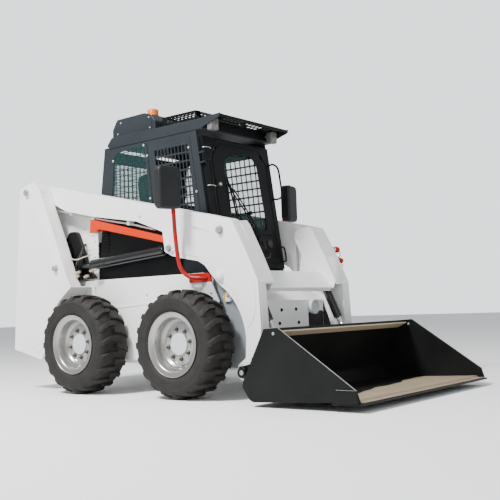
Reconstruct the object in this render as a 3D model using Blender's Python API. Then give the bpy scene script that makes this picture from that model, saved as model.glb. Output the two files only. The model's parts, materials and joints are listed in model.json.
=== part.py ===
# Skid steer loader with a low bucket, modelled in metres, +Z up, forward is -Y.
# Lengths along Y are measured from the front axle; the root empty then centres the machine.
import math

import bmesh
import bpy
from mathutils import Vector

# ---- wheels and axles
TYRE_RADIUS = 0.410
TYRE_WIDTH = 0.300
TYRE_OUTER_X = 0.8805
BEAD_RADIUS = 0.2095
RIM_FLANGE_RADIUS = 0.2435
RIM_WALL = 0.008
RIM_DISC_X = 0.050
BEAD_HALF = 0.124
WHEELBASE = 1.1386
SPINDLE_RADIUS = 0.038
AXLE_TUBE_RADIUS = 0.075
# ---- fits
GAP = 0.0004
PIN_PLAY = 0.0006
# ---- lower frame
CHASSIS_HALF = 0.510
FENDER_HALF = 0.560
FENDER_FRONT_Y = -0.060
FENDER_REAR_Y = 1.200
DECK_Z = 0.945
BELLY_Z = 0.200
FRONT_Y = -0.440
FRONT_PLATE_TOP_Z = 0.715
FRAME_WALL = 0.010
REAR_FRAME_Y = 2.000
BUMPER_REAR_Y = 2.097
REAR_DOOR_INNER_Y = 2.005
REAR_DOOR_OUTER_Y = 2.043
REAR_DOOR_HALF = 0.440
REAR_DOOR_LOW_Z = 0.560
REAR_DOOR_HIGH_Z = 1.640
REAR_HINGE_X = 0.458
REAR_HINGE_Y = 2.054
REAR_HINGES = (0.700, 1.380)
REAR_HINGE_LENGTH = 0.070
ENGINE_FRONT_Y = 1.300
ENGINE_REAR_Y = 1.850
ENGINE_TOP_Z = 1.300
# ---- rear towers
TOWER_OUTER_X = 0.740
TOWER_PLATE = 0.012
TOWER_INNER_X = 0.484
TOWER_SLOT_X = 0.625
TOWER_ARCH_RADIUS = 0.483
ARM_PIVOT = (1.877, 1.768)
LIFT_BASE = (1.491, 1.060)
PIVOT_PIN_RADIUS = 0.035
CYLINDER_PIN_RADIUS = 0.025
# ---- cab
CAB_HALF = 0.457
CAB_WALL = 0.020
CAB_REAR_Y = 1.204
DOOR_GLASS_HALF = 0.320
DOOR_GLASS_LOW = 0.300
DOOR_GLASS_HIGH = 0.930
HINGE_PLACES = (0.180, 0.800)
HINGE_SHARE = 0.060
REAR_GLASS_HALF = 0.330
REAR_GLASS_LOW_Z = 1.620
REAR_GLASS_HIGH_Z = 1.980
CAB_FLOOR_Z = 0.960
CAB_FLOOR_PLATE = 0.012
SILL_FRONT = (-0.098, 0.985)
DOOR_HALF = 0.436
DOOR_FREE_X = 0.424
DOOR_THICK = 0.030
DOOR_SEAL = 0.005
POST_WIDTH = 0.050
POST_DEPTH = 0.050
HINGE_AXIS_X = 0.004 - CAB_HALF
HINGE_AXIS_OUT = 0.004
HINGE_RADIUS = 0.013
HINGE_PIN = 0.007
DOOR_FOOT = (-0.122, 0.992)
DOOR_HEAD = (0.026, 2.050)
GLASS = 0.006
ROOF_TOP_Z = 2.184
ROOF_UNDER_Z = 2.101
VISOR_FRONT = (-0.188, 2.193)
# ---- lift arms
ARM_OUTER_X = 0.617
LEG_INNER_X = 0.522
BOOM_INNER_X = 0.490
EAR_X = 0.422
EAR_PLATE = 0.008
ARM_END_RADIUS = 0.089
ELBOW_Y = -0.200
ROD_EYE_POCKET = 0.036
TILT_PIN = (-0.293, 1.252)
LIFT_EYE = (0.241, 1.153)
COUPLER_PIN = (-0.490, 0.200)
COUPLER_EYE = (-0.680, 0.420)
LUG_INNER_X = 0.508
LUG_INNER_PLATE = 0.009
LUG_OUTER_X = 0.625
LUG_OUTER_PLATE = 0.015
# ---- cylinders
LIFT_CYL_X = 0.560
LIFT_BARREL_RADIUS = 0.045
LIFT_ROD_RADIUS = 0.024
LIFT_BARREL_START = 0.278
LIFT_BARREL_END = 1.150
LIFT_ROD_LENGTH = 0.930
TILT_CYL_X = (EAR_X + EAR_PLATE + LUG_INNER_X) / 2
TILT_BARREL_RADIUS = 0.034
TILT_ROD_RADIUS = 0.020
TILT_BARREL_END = 0.755
TILT_BORE_START = 0.076
TILT_ROD_LENGTH = 0.720
TILT_PIN_RADIUS = 0.022
# ---- bucket
BUCKET_HALF = 0.947
BUCKET_PLATE = 0.012
BUCKET_TOP_REAR = (-0.923, 0.520)
BUCKET_TOP_FRONT = (-1.036, 0.527)
BUCKET_BACK_LOW = (-0.720, 0.141)
BUCKET_HEEL = (-0.797, 0.033)
BUCKET_LIP = (-1.642, 0.065)
EDGE_LENGTH = 0.200
EDGE_LAP = 0.060
FLOOR_FRONT = (BUCKET_LIP[0] + EDGE_LAP, BUCKET_LIP[1] - 0.004)
BUCKET_PLATE_INSET = 0.006
EDGE_THICK = 0.016
COUPLER_PLATE = 0.014
COUPLER_HALF = 0.640

CENTRE_Y = (BUCKET_LIP[0] + BUMPER_REAR_Y) / 2
REAR_AXLE_Y = WHEELBASE
AXLE_Z = TYRE_RADIUS
WHEEL_STEPS = 24
SIDES = (("right", -1.0), ("left", 1.0))


# ---------------------------------------------------------------- shapes
def clear_scene():
    for obj in list(bpy.data.objects):
        bpy.data.objects.remove(obj, do_unlink=True)


def material(name, colour, roughness, metallic):
    made = bpy.data.materials.new(name)
    made.use_nodes = True
    shader = made.node_tree.nodes["Principled BSDF"]
    shader.inputs["Base Color"].default_value = (*colour, 1.0)
    shader.inputs["Roughness"].default_value = roughness
    shader.inputs["Metallic"].default_value = metallic
    return made


def rounded(corners, steps=3):
    """Outline from (y, z, radius) corners, each rounded by an arc of its radius."""
    outline = []
    count = len(corners)
    for i, corner in enumerate(corners):
        here = Vector(corner[:2])
        radius = corner[2] if len(corner) > 2 else 0.0
        if radius <= 0.0:
            outline.append(tuple(here))
            continue
        before = (Vector(corners[i - 1][:2]) - here).normalized()
        after = (Vector(corners[(i + 1) % count][:2]) - here).normalized()
        half = before.angle(after) / 2
        reach = radius / math.tan(half)
        start = here + before * reach
        end = here + after * reach
        centre = here + (before + after).normalized() * (radius / math.sin(half))
        from_centre = start - centre
        turn = from_centre.angle_signed(end - centre)
        for step in range(steps + 1):
            angle = -turn * step / steps
            cosine, sine = math.cos(angle), math.sin(angle)
            outline.append(
                (
                    centre.x + from_centre.x * cosine - from_centre.y * sine,
                    centre.y + from_centre.x * sine + from_centre.y * cosine,
                )
            )
    return outline


def arc(centre, radius, start, end, steps):
    """Points on an arc in the YZ plane, angles in degrees from +Y towards +Z."""
    points = []
    for step in range(steps + 1):
        angle = math.radians(start + (end - start) * step / steps)
        points.append((centre[0] + radius * math.cos(angle), centre[1] + radius * math.sin(angle)))
    return points


def prism(outline, low_x, high_x):
    """Solid with this YZ outline between two X planes."""
    bm = bmesh.new()
    low, high = min(low_x, high_x), max(low_x, high_x)
    base = [bm.verts.new((low, y, z)) for y, z in outline]
    face = bm.faces.new(base)
    pushed = bmesh.ops.extrude_face_region(bm, geom=[face])
    top = [item for item in pushed["geom"] if isinstance(item, bmesh.types.BMVert)]
    bmesh.ops.translate(bm, verts=top, vec=(high - low, 0, 0))
    return bm


def box(x0, x1, y0, y1, z0, z1):
    return prism([(y0, z0), (y1, z0), (y1, z1), (y0, z1)], x0, x1)


def across(outline, low_y, high_y):
    """Solid with this XZ outline between two Y planes."""
    bm = prism(outline, 0.0, high_y - low_y)
    for vert in bm.verts:
        vert.co = Vector((vert.co.y, low_y + vert.co.x, vert.co.z))
    bmesh.ops.recalc_face_normals(bm, faces=bm.faces)
    return bm


def turned(profile, origin, direction, steps=32, closed=False):
    """Solid of revolution: (distance along direction, radius) points, closed for a ring."""
    bm = bmesh.new()
    forward = Vector(direction).normalized()
    down = Vector((0, 0, -1)) if abs(forward.z) < 0.9 else Vector((1, 0, 0))
    side = (down - forward * down.dot(forward)).normalized()
    other = forward.cross(side)
    start = Vector(origin)
    rings = []
    for along, radius in profile:
        centre = start + forward * along
        if radius < 1e-9:
            rings.append([bm.verts.new(centre)])
            continue
        ring = []
        for step in range(steps):
            angle = 2 * math.pi * step / steps
            ring.append(
                bm.verts.new(centre + (side * math.cos(angle) + other * math.sin(angle)) * radius)
            )
        rings.append(ring)
    pairs = list(zip(rings, rings[1:]))
    if closed:
        pairs.append((rings[-1], rings[0]))
    for first, second in pairs:
        for step in range(steps):
            after = (step + 1) % steps
            corners = [first[step % len(first)]]
            if len(first) > 1:
                corners.append(first[after])
            if len(second) > 1:
                corners.append(second[after])
            corners.append(second[step % len(second)])
            bm.faces.new(corners)
    bmesh.ops.recalc_face_normals(bm, faces=bm.faces)
    return bm


def cylinder(origin, direction, length, radius, steps=12):
    return turned([(0, 0), (0, radius), (length, radius), (length, 0)], origin, direction, steps)


def across_pin(centre, low_x, high_x, radius, steps=24):
    """Round bar along X through a YZ point."""
    low, high = min(low_x, high_x), max(low_x, high_x)
    return cylinder((low, centre[0], centre[1]), (1, 0, 0), high - low, radius, steps)


def swept(points, radius, steps=8):
    """Round tube along a smooth run of points, with flat ends."""
    bm = bmesh.new()
    route = [Vector(point) for point in points]
    side = None
    rings = []
    for i, here in enumerate(route):
        before = route[max(i - 1, 0)]
        after = route[min(i + 1, len(route) - 1)]
        forward = (after - before).normalized()
        side = forward.orthogonal() if side is None else side - forward * side.dot(forward)
        side.normalize()
        other = forward.cross(side)
        ring = []
        for step in range(steps):
            angle = 2 * math.pi * step / steps
            ring.append(
                bm.verts.new(here + (side * math.cos(angle) + other * math.sin(angle)) * radius)
            )
        rings.append(ring)
    for first, second in zip(rings, rings[1:]):
        for step in range(steps):
            after = (step + 1) % steps
            bm.faces.new([first[step], first[after], second[after], second[step]])
    bm.faces.new(list(reversed(rings[0])))
    bm.faces.new(rings[-1])
    bmesh.ops.recalc_face_normals(bm, faces=bm.faces)
    return bm


def smooth_route(points, per_span=4):
    """Catmull-Rom curve through the given points."""
    knots = [Vector(point) for point in points]
    knots = [2 * knots[0] - knots[1]] + knots + [2 * knots[-1] - knots[-2]]
    route = []
    for i in range(1, len(knots) - 2):
        a, b, c, d = knots[i - 1 : i + 3]
        for step in range(per_span):
            t = step / per_span
            route.append(
                0.5
                * (
                    2 * b
                    + (c - a) * t
                    + (2 * a - 5 * b + 4 * c - d) * t**2
                    + (3 * b - a - 3 * c + d) * t**3
                )
            )
    route.append(knots[-2])
    return route


def mirrored(bm, side):
    """The right-hand shape as built, or its mirror image for the left-hand side."""
    if side > 0:
        for vert in bm.verts:
            vert.co.x = -vert.co.x
    return bm


# ---------------------------------------------------------------- scene assembly
pivots = {}


def pivot(name, parent=None, point=(0.0, 0.0, 0.0)):
    """Empty on a joint's axis, in machine coordinates, parented to its carrier."""
    empty = bpy.data.objects.new(f"{name}_pivot", None)
    bpy.context.collection.objects.link(empty)
    here = Vector(point)
    if parent is None:
        empty.location = (0.0, -CENTRE_Y, 0.0)
    else:
        empty.parent = pivots[parent][0]
        empty.location = here - pivots[parent][1]
    pivots[name] = (empty, here)


def add_mesh(name, bm, carrier):
    empty, centre = pivots[carrier]
    mesh = bpy.data.meshes.new(name)
    bmesh.ops.translate(bm, verts=bm.verts, vec=-centre)
    bmesh.ops.recalc_face_normals(bm, faces=bm.faces)
    if bm.calc_volume(signed=True) < 0:
        bmesh.ops.reverse_faces(bm, faces=bm.faces)
    bm.to_mesh(mesh)
    bm.free()
    obj = bpy.data.objects.new(name, mesh)
    bpy.context.collection.objects.link(obj)
    obj.parent = empty
    return obj


def node(name, carrier, look, solids, cuts=(), smooth=False):
    """One sub-part: the first solid, joined with the others, less the cuts."""
    obj = add_mesh(name, solids[0], carrier)
    obj.data.materials.append(look)
    tools = [("UNION", "add", bm) for bm in solids[1:]]
    tools += [("DIFFERENCE", "cut", bm) for bm in cuts]
    for i, (operation, word, bm) in enumerate(tools):
        tool = add_mesh(f"{name}_{word}_{i}", bm, carrier)
        tool.hide_render = True
        tool.display_type = "WIRE"
        modifier = obj.modifiers.new(f"{word} {i}", "BOOLEAN")
        modifier.operation = operation
        modifier.object = tool
    if smooth:
        obj.data.shade_smooth()
        obj.data.set_sharp_from_angle(angle=math.radians(35))
    return obj


def sloped(first, second, share):
    return (
        first[0] + (second[0] - first[0]) * share,
        first[1] + (second[1] - first[1]) * share,
    )


def offset(line, distance):
    """An open YZ polyline moved sideways by a distance, to the left of its direction."""
    points = [Vector(point) for point in line]
    moved = []
    for i, here in enumerate(points):
        normals = []
        if i > 0:
            along = (here - points[i - 1]).normalized()
            normals.append(Vector((-along.y, along.x)))
        if i < len(points) - 1:
            along = (points[i + 1] - here).normalized()
            normals.append(Vector((-along.y, along.x)))
        normal = sum(normals, Vector((0, 0))).normalized()
        moved.append(tuple(here + normal * (distance / normal.dot(normals[0]))))
    return moved


def strip(line, thickness, low_x, high_x):
    """Bent plate: a YZ line given a thickness to its left, between two X planes."""
    return prism(list(line) + list(reversed(offset(line, thickness))), low_x, high_x)


# ---------------------------------------------------------------- looks
clear_scene()
white_paint = material("white_paint", (0.80, 0.80, 0.77), 0.35, 0.0)
slate_paint = material("slate_paint", (0.05, 0.06, 0.07), 0.45, 0.0)
black_paint = material("black_paint", (0.012, 0.013, 0.014), 0.4, 0.0)
red_paint = material("red_paint", (0.65, 0.02, 0.01), 0.4, 0.0)
orange_paint = material("orange_paint", (0.85, 0.12, 0.02), 0.4, 0.0)
bucket_paint = material("bucket_paint", (0.01, 0.01, 0.011), 0.45, 0.0)
worn_steel = material("worn_steel", (0.42, 0.36, 0.29), 0.5, 0.8)
chrome = material("chrome", (0.8, 0.8, 0.8), 0.12, 1.0)
rim_silver = material("rim_silver", (0.55, 0.54, 0.52), 0.4, 0.7)
rubber = material("tyre_rubber", (0.035, 0.032, 0.03), 0.85, 0.0)
glass = material("tinted_glass", (0.25, 0.38, 0.38), 0.08, 0.0)
lens_orange = material("beacon_orange", (0.9, 0.25, 0.02), 0.3, 0.0)
black_vinyl = material("black_vinyl", (0.02, 0.02, 0.02), 0.6, 0.0)
iron = material("cast_iron", (0.12, 0.12, 0.12), 0.6, 0.5)


# ---------------------------------------------------------------- lower frame
def axle_centre(which):
    return (0.0 if which == "front" else REAR_AXLE_Y, AXLE_Z)


def belly_top(y):
    """Height of the belly plate's upper face, which rises a little towards the rear."""
    front = (-0.350, BELLY_Z + FRAME_WALL + 0.004)
    rear = (REAR_FRAME_Y - FRAME_WALL, BELLY_Z + 0.090 + FRAME_WALL)
    return front[1] + (rear[1] - front[1]) * (y - front[0]) / (rear[0] - front[0])


def make_chassis():
    side_outline = [
        (-0.370, BELLY_Z),
        (REAR_FRAME_Y, BELLY_Z + 0.090),
        (REAR_FRAME_Y, DECK_Z),
        (-0.100, DECK_Z),
        (-0.405, FRONT_PLATE_TOP_Z + 0.025),
        (FRONT_Y, FRONT_PLATE_TOP_Z),
        (FRONT_Y, 0.290),
    ]
    inner = [
        (-0.350, BELLY_Z + FRAME_WALL + 0.004),
        (REAR_FRAME_Y - FRAME_WALL, BELLY_Z + 0.090 + FRAME_WALL),
        (REAR_FRAME_Y - FRAME_WALL, DECK_Z - FRAME_WALL),
        (-0.095, DECK_Z - FRAME_WALL),
        (-0.395, FRONT_PLATE_TOP_Z - 0.012),
        (FRONT_Y + FRAME_WALL, FRONT_PLATE_TOP_Z - 0.020),
        (FRONT_Y + FRAME_WALL, 0.300),
    ]
    hull = prism(side_outline, -CHASSIS_HALF, CHASSIS_HALF)
    wall = CHASSIS_HALF - FRAME_WALL
    solids = [hull]
    for name, side in SIDES:
        fender = across(
            [
                (-CHASSIS_HALF + 0.004, BELLY_Z + 0.040),
                (-FENDER_HALF, BELLY_Z + 0.070),
                (-FENDER_HALF, DECK_Z),
                (-CHASSIS_HALF + 0.004, DECK_Z),
            ],
            FENDER_FRONT_Y,
            FENDER_REAR_Y,
        )
        solids.append(mirrored(fender, side))
    solids.append(box(-0.700, 0.700, REAR_FRAME_Y - 0.003, BUMPER_REAR_Y, 0.345, 0.520))
    cuts = [prism(inner, -wall, wall)]
    cuts.append(box(-0.430, 0.430, -0.020, REAR_FRAME_Y - 0.080, DECK_Z - 0.100, DECK_Z + 0.100))
    for which in ("front", "rear"):
        centre = axle_centre(which)
        cuts.append(across_pin(centre, -0.7, 0.7, AXLE_TUBE_RADIUS + GAP))
    node("chassis_frame", "machine", white_paint, solids, cuts)


def make_axles():
    for which in ("front", "rear"):
        centre = axle_centre(which)
        reach = TYRE_OUTER_X - TYRE_WIDTH / 2 + RIM_DISC_X + 0.002
        solids = [
            across_pin(centre, -FENDER_HALF - 0.012, FENDER_HALF + 0.012, AXLE_TUBE_RADIUS),
            across_pin(centre, -reach, reach, SPINDLE_RADIUS),
        ]
        node(f"{which}_axle", "machine", iron, solids, smooth=True)


def tower_outline():
    arch = arc(axle_centre("rear"), TOWER_ARCH_RADIUS, 52.0, 0.0, 10)
    return rounded(
        [
            (1.991, 1.810, 0.020),
            (1.808, 1.858, 0.020),
            (1.710, 1.804, 0.010),
            (1.705, 1.776),
            (1.446, 1.217, 0.100),
            (1.349, 0.973, 0.050),
            (1.295, 0.892, 0.010),
        ]
        + arch
        + [(1.710, 0.269, 0.030), (1.994, 0.337), (BUMPER_REAR_Y, 0.354, 0.020)]
    )


def make_towers():
    plate_inner = TOWER_OUTER_X - TOWER_PLATE
    arch = arc(axle_centre("rear"), TOWER_ARCH_RADIUS, 52.0, 0.0, 10)
    front_line = [(1.705, 1.776), (1.446, 1.217), (1.349, 0.973), (1.295, 0.892)]
    rear_line = [(1.985, 1.780), (BUMPER_REAR_Y - 0.004, 0.372)]
    low_line = [(1.295, 0.892)] + arch + [(1.710, 0.269)]
    for name, side in SIDES:
        outer = prism(tower_outline(), -TOWER_OUTER_X, -plate_inner)
        front = strip(front_line, 0.010, -plate_inner - 0.003, -TOWER_SLOT_X)
        arch_strip = strip(low_line, 0.008, -plate_inner - 0.003, -CHASSIS_HALF - GAP)
        rear = strip(list(reversed(rear_line)), 0.012, -plate_inner - 0.003, -TOWER_INNER_X + 0.010)
        inner = prism(
            [
                (1.230, DECK_Z + GAP),
                (1.985, DECK_Z + GAP),
                (1.985, 1.790),
                (1.720, 1.790),
                (1.560, 1.640),
                (1.230, 1.600),
            ],
            -TOWER_INNER_X,
            -TOWER_INNER_X + 0.010,
        )
        pivot_pin = across_pin(
            ARM_PIVOT, -TOWER_OUTER_X - 0.012, -TOWER_INNER_X + 0.002, PIVOT_PIN_RADIUS
        )
        base_pin = across_pin(
            LIFT_BASE, -TOWER_OUTER_X - 0.006, -TOWER_INNER_X + 0.002, CYLINDER_PIN_RADIUS
        )
        solids = [outer, front, arch_strip, rear, inner, pivot_pin, base_pin]
        bumper = box(-0.7 - GAP, 0.0, REAR_FRAME_Y - 0.003 - GAP, BUMPER_REAR_Y + 0.05, 0.3, 0.520 + GAP)
        cuts = [mirrored(bumper, side)]
        solids = [mirrored(solid, side) for solid in solids]
        if name == "left":
            solids += rear_hinge_lugs()
        node(f"tower_{name}", "machine", white_paint, solids, cuts)


def rear_hinge_bar(low_z, high_z, radius):
    return cylinder((REAR_HINGE_X, REAR_HINGE_Y, low_z), (0, 0, 1), high_z - low_z, radius)


def rear_hinge_lugs():
    """Pins on the left tower, each held by a lug above and below the rear door's knuckle."""
    solids = []
    for low in REAR_HINGES:
        high = low + REAR_HINGE_LENGTH
        solids.append(rear_hinge_bar(low - 0.012, high + 0.012, HINGE_PIN))
        for start in (low - 0.014, high + 0.002):
            solids.append(
                box(
                    REAR_HINGE_X - 0.008,
                    TOWER_INNER_X + 0.010,
                    REAR_DOOR_INNER_Y,
                    REAR_HINGE_Y + 0.010,
                    start,
                    start + 0.012,
                )
            )
    return solids


def make_engine_bay():
    width = TOWER_INNER_X - 0.010 - 0.0005
    node(
        "engine_block",
        "machine",
        iron,
        [
            prism(
                [
                    (ENGINE_FRONT_Y, belly_top(ENGINE_FRONT_Y) + GAP),
                    (ENGINE_REAR_Y, belly_top(ENGINE_REAR_Y) + GAP),
                    (ENGINE_REAR_Y, ENGINE_TOP_Z),
                    (ENGINE_FRONT_Y, ENGINE_TOP_Z),
                ],
                -0.300,
                0.300,
            )
        ],
    )
    hood = [
        (1.232, 1.440),
        (1.232, 1.560),
        (1.940, 1.640),
        (1.940, 1.625),
        (1.247, 1.546),
        (1.247, 1.440),
    ]
    node("engine_hood", "machine", white_paint, [prism(hood, -width, width)])
    inner_y, outer_y = REAR_DOOR_INNER_Y, REAR_DOOR_OUTER_Y
    door = box(-REAR_DOOR_HALF, REAR_DOOR_HALF, inner_y, outer_y, REAR_DOOR_LOW_Z, REAR_DOOR_HIGH_Z)
    leaf = (REAR_HINGE_X - 0.070, REAR_HINGE_X - 0.0095, outer_y - 0.002, outer_y + 0.006)
    solids, cuts = [door], []
    for low in REAR_HINGES:
        high = low + REAR_HINGE_LENGTH
        solids.append(rear_hinge_bar(low, high, HINGE_RADIUS))
        solids.append(box(*leaf, low, high))
        cuts.append(rear_hinge_bar(low - 0.02, high + 0.02, HINGE_PIN + PIN_PLAY))
    node("rear_door", "rear_door", white_paint, solids, cuts)
    for name, side in SIDES:
        cover = prism(
            rounded(
                [
                    (0.252, DECK_Z + GAP),
                    (1.222, DECK_Z + GAP),
                    (1.180, 1.380, 0.02),
                    (0.252, 1.200, 0.02),
                ]
            ),
            -0.482,
            -CAB_HALF - GAP,
        )
        node(f"side_cover_{name}", "machine", black_paint, [mirrored(cover, side)])


# ---------------------------------------------------------------- wheels
def tyre_profile():
    """Cross-section of a tyre: distance from its middle plane, and radius."""
    half = TYRE_WIDTH / 2
    bead = BEAD_HALF
    return [
        (-bead + 0.010, BEAD_RADIUS),
        (-bead, BEAD_RADIUS + 0.010),
        (-bead - 0.003, BEAD_RADIUS + 0.034),
        (-half, BEAD_RADIUS + 0.085),
        (-half + 0.004, TYRE_RADIUS - 0.060),
        (-half + 0.020, TYRE_RADIUS - 0.016),
        (-half + 0.050, TYRE_RADIUS),
        (half - 0.050, TYRE_RADIUS),
        (half - 0.020, TYRE_RADIUS - 0.016),
        (half - 0.004, TYRE_RADIUS - 0.060),
        (half, BEAD_RADIUS + 0.085),
        (bead + 0.003, BEAD_RADIUS + 0.034),
        (bead, BEAD_RADIUS + 0.010),
        (bead - 0.010, BEAD_RADIUS),
    ]


def rim_profile():
    """Closed section of the rim and its disc, outer side at positive distance."""
    seat = BEAD_RADIUS - GAP
    bead = BEAD_HALF
    disc = RIM_DISC_X
    hole = SPINDLE_RADIUS + PIN_PLAY
    return [
        (disc, hole),
        (disc, 0.090),
        (disc + 0.012, 0.150),
        (disc - 0.010, seat - 0.030),
        (bead - 0.004, seat - RIM_WALL),
        (bead + 0.012, RIM_FLANGE_RADIUS),
        (bead + 0.0038, RIM_FLANGE_RADIUS),
        (bead + 0.0008, seat + 0.0102),
        (bead - 0.0095, seat),
        (-bead + 0.0095, seat),
        (-bead - 0.0008, seat + 0.0102),
        (-bead - 0.0038, RIM_FLANGE_RADIUS),
        (-bead - 0.012, RIM_FLANGE_RADIUS),
        (-bead + 0.004, seat - RIM_WALL),
        (disc - 0.040, seat - RIM_WALL - 0.010),
        (disc - 0.030, 0.150),
        (disc - 0.020, 0.095),
        (disc - 0.060, SPINDLE_RADIUS + 0.030),
        (disc - 0.060, hole),
    ]


def make_wheels():
    for which in ("front", "rear"):
        y, z = axle_centre(which)
        for name, side in SIDES:
            carrier = f"wheel_{which}_{name}"
            middle = side * (TYRE_OUTER_X - TYRE_WIDTH / 2)
            direction = (side, 0, 0)
            ring = turned(tyre_profile(), (middle, y, z), direction, WHEEL_STEPS, closed=True)
            node(f"tyre_{which}_{name}", carrier, rubber, [ring], smooth=True)
            rim = turned(rim_profile(), (middle, y, z), direction, WHEEL_STEPS, closed=True)
            node(f"rim_{which}_{name}", carrier, rim_silver, [rim], smooth=True)


# ---------------------------------------------------------------- cab
def cab_side_outline():
    depth = DOOR_THICK + DOOR_SEAL + 0.002
    low = door_point(-0.015, depth)
    high = door_point(1.0, depth)
    lean = (high.x - low.x) / (high.y - low.y)
    return [
        tuple(low),
        (low.x, CAB_FLOOR_Z + GAP),
        (CAB_REAR_Y, CAB_FLOOR_Z + GAP),
        (CAB_REAR_Y, 1.723),
        (1.149, 2.097),
        (1.149, ROOF_UNDER_Z - GAP),
        (high.x + lean * (ROOF_UNDER_Z - GAP - high.y), ROOF_UNDER_Z - GAP),
    ]


def make_cab():
    floor = box(
        -CAB_HALF, CAB_HALF, SILL_FRONT[0] + 0.002, CAB_REAR_Y, DECK_Z + GAP, CAB_FLOOR_Z
    )
    node("cab_floor", "machine", slate_paint, [floor])
    inner = CAB_HALF - CAB_WALL
    rear_window = rounded(
        [
            (1.029, 2.032, 0.02),
            (0.875, 2.062, 0.02),
            (0.640, 2.062, 0.03),
            (0.591, 1.574, 0.03),
            (1.065, 1.560, 0.03),
        ]
    )
    mid_window = rounded(
        [(0.536, 2.035, 0.02), (0.171, 2.039, 0.02), (0.065, 1.360, 0.02), (0.500, 1.360, 0.02)]
    )
    for name, side in SIDES:
        wall = prism(cab_side_outline(), -CAB_HALF, -inner)
        post = slanted(-0.010, 1.0, DOOR_THICK + DOOR_SEAL, POST_DEPTH, -inner - 0.003, -inner + POST_WIDTH)
        solids = [mirrored(wall, side), mirrored(post, side)]
        if name == "right":
            solids += door_hinge_lugs()
        cuts = [prism(rear_window, -CAB_HALF - 0.1, -inner + 0.1)]
        cuts.append(prism(mid_window, -CAB_HALF - 0.1, -inner + 0.1))
        node(
            f"cab_side_{name}",
            "machine",
            slate_paint,
            solids,
            [mirrored(cut, side) for cut in cuts],
        )
        pane = prism(
            rounded(
                [
                    (1.029 - GAP, 2.032 - GAP, 0.02),
                    (0.875, 2.062 - GAP, 0.02),
                    (0.640 + GAP, 2.062 - GAP, 0.03),
                    (0.591 + GAP, 1.574 + GAP, 0.03),
                    (1.065 - GAP, 1.560 + GAP, 0.03),
                ]
            ),
            -CAB_HALF + 0.004,
            -CAB_HALF + 0.004 + GLASS,
        )
        node(f"window_{name}", "machine", glass, [mirrored(pane, side)])
        screen = prism(
            rounded(
                [
                    (0.536 - GAP, 2.035 - GAP, 0.02),
                    (0.171 + GAP, 2.039 - GAP, 0.02),
                    (0.065 + GAP, 1.360 + GAP, 0.02),
                    (0.500 - GAP, 1.360 + GAP, 0.02),
                ]
            ),
            -CAB_HALF + 0.002,
            -CAB_HALF + 0.006,
        )
        node(f"side_screen_{name}", "machine", black_paint, [mirrored(screen, side)])
    reach = inner - GAP
    rear = prism(
        [
            (CAB_REAR_Y - CAB_WALL, CAB_FLOOR_Z + GAP),
            (CAB_REAR_Y, CAB_FLOOR_Z + GAP),
            (CAB_REAR_Y, 1.723),
            (1.151, 2.085),
            (1.151 - CAB_WALL, 2.085),
            (CAB_REAR_Y - CAB_WALL, 1.720),
        ],
        -reach,
        reach,
    )
    half, low, high = REAR_GLASS_HALF, REAR_GLASS_LOW_Z, REAR_GLASS_HIGH_Z
    opening = box(-half, half, CAB_REAR_Y - 0.150, CAB_REAR_Y + 0.100, low, high)
    node("cab_rear", "machine", slate_paint, [rear], [opening])
    knee, top = (CAB_REAR_Y, 1.723), (1.151, 2.085)
    share = (high - GAP - knee[1]) / (top[1] - knee[1])
    line = offset([(CAB_REAR_Y, low + GAP), knee, sloped(knee, top, share)], 0.006)
    node("rear_window", "machine", glass, [strip(line, GLASS, -half + GAP, half - GAP)])
    header = [
        (0.010, ROOF_UNDER_Z),
        (1.100, ROOF_UNDER_Z),
        (1.120, ROOF_UNDER_Z + 0.020),
        (1.059, ROOF_TOP_Z),
        (0.040, ROOF_TOP_Z),
        VISOR_FRONT,
        (VISOR_FRONT[0] + 0.012, VISOR_FRONT[1] - 0.030),
        (-0.030, ROOF_UNDER_Z + 0.018),
    ]
    guard = [(0.120, 2.180), (0.590, 2.180), (0.590, 2.309), (0.231, 2.311), (0.110, 2.268)]
    node(
        "cab_roof",
        "machine",
        slate_paint,
        [prism(header, -CAB_HALF, CAB_HALF), prism(guard, -0.300, 0.300)],
    )


def make_roof_fittings():
    shell = rounded(
        [
            (1.160, ROOF_TOP_Z + GAP),
            (1.161, 2.282, 0.02),
            (1.102, 2.369, 0.03),
            (0.763, 2.373, 0.03),
            (0.682, 2.350, 0.02),
            (0.630, 2.287, 0.02),
            (0.622, ROOF_TOP_Z + GAP),
        ]
    )
    case = prism(shell, -0.350, 0.350)
    node("air_conditioner", "machine", slate_paint, [case])
    profile = [
        (0, 0),
        (0, 0.060),
        (0.012, 0.062),
        (0.020, 0.054),
        (0.060, 0.046),
        (0.070, 0.030),
        (0.074, 0),
    ]
    lamp = turned(profile, (-0.170, 0.830, 2.373 + GAP), (0, 0, 1), 24)
    node("beacon", "machine", lens_orange, [lamp], smooth=True)


def make_seat():
    pedestal = box(-0.200, 0.200, 0.520, 0.900, CAB_FLOOR_Z + GAP, 1.230)
    cushion = prism(
        rounded([(0.380, 1.220, 0.02), (0.900, 1.200, 0.02), (0.900, 1.330, 0.03), (0.400, 1.360, 0.05)]),
        -0.240,
        0.240,
    )
    back = prism(
        rounded([(0.800, 1.300, 0.02), (0.900, 1.280, 0.02), (1.060, 1.880, 0.04), (0.960, 1.900, 0.04)]),
        -0.230,
        0.230,
    )
    solids = [pedestal, cushion, back]
    for side in (-1, 1):
        rest = prism(
            rounded(
                [(0.360, 1.470, 0.02), (0.880, 1.450, 0.02), (0.880, 1.530, 0.02), (0.360, 1.540, 0.02)]
            ),
            side * 0.235,
            side * 0.330,
        )
        lever = cylinder((side * 0.285, 0.420, 1.530), (0, -0.2, 1), 0.180, 0.018, 12)
        bracket = box(side * 0.200, side * 0.290, 0.820, 0.890, 1.320, 1.480)
        solids += [rest, lever, bracket]
    node("operator_seat", "machine", black_vinyl, solids)


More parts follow.
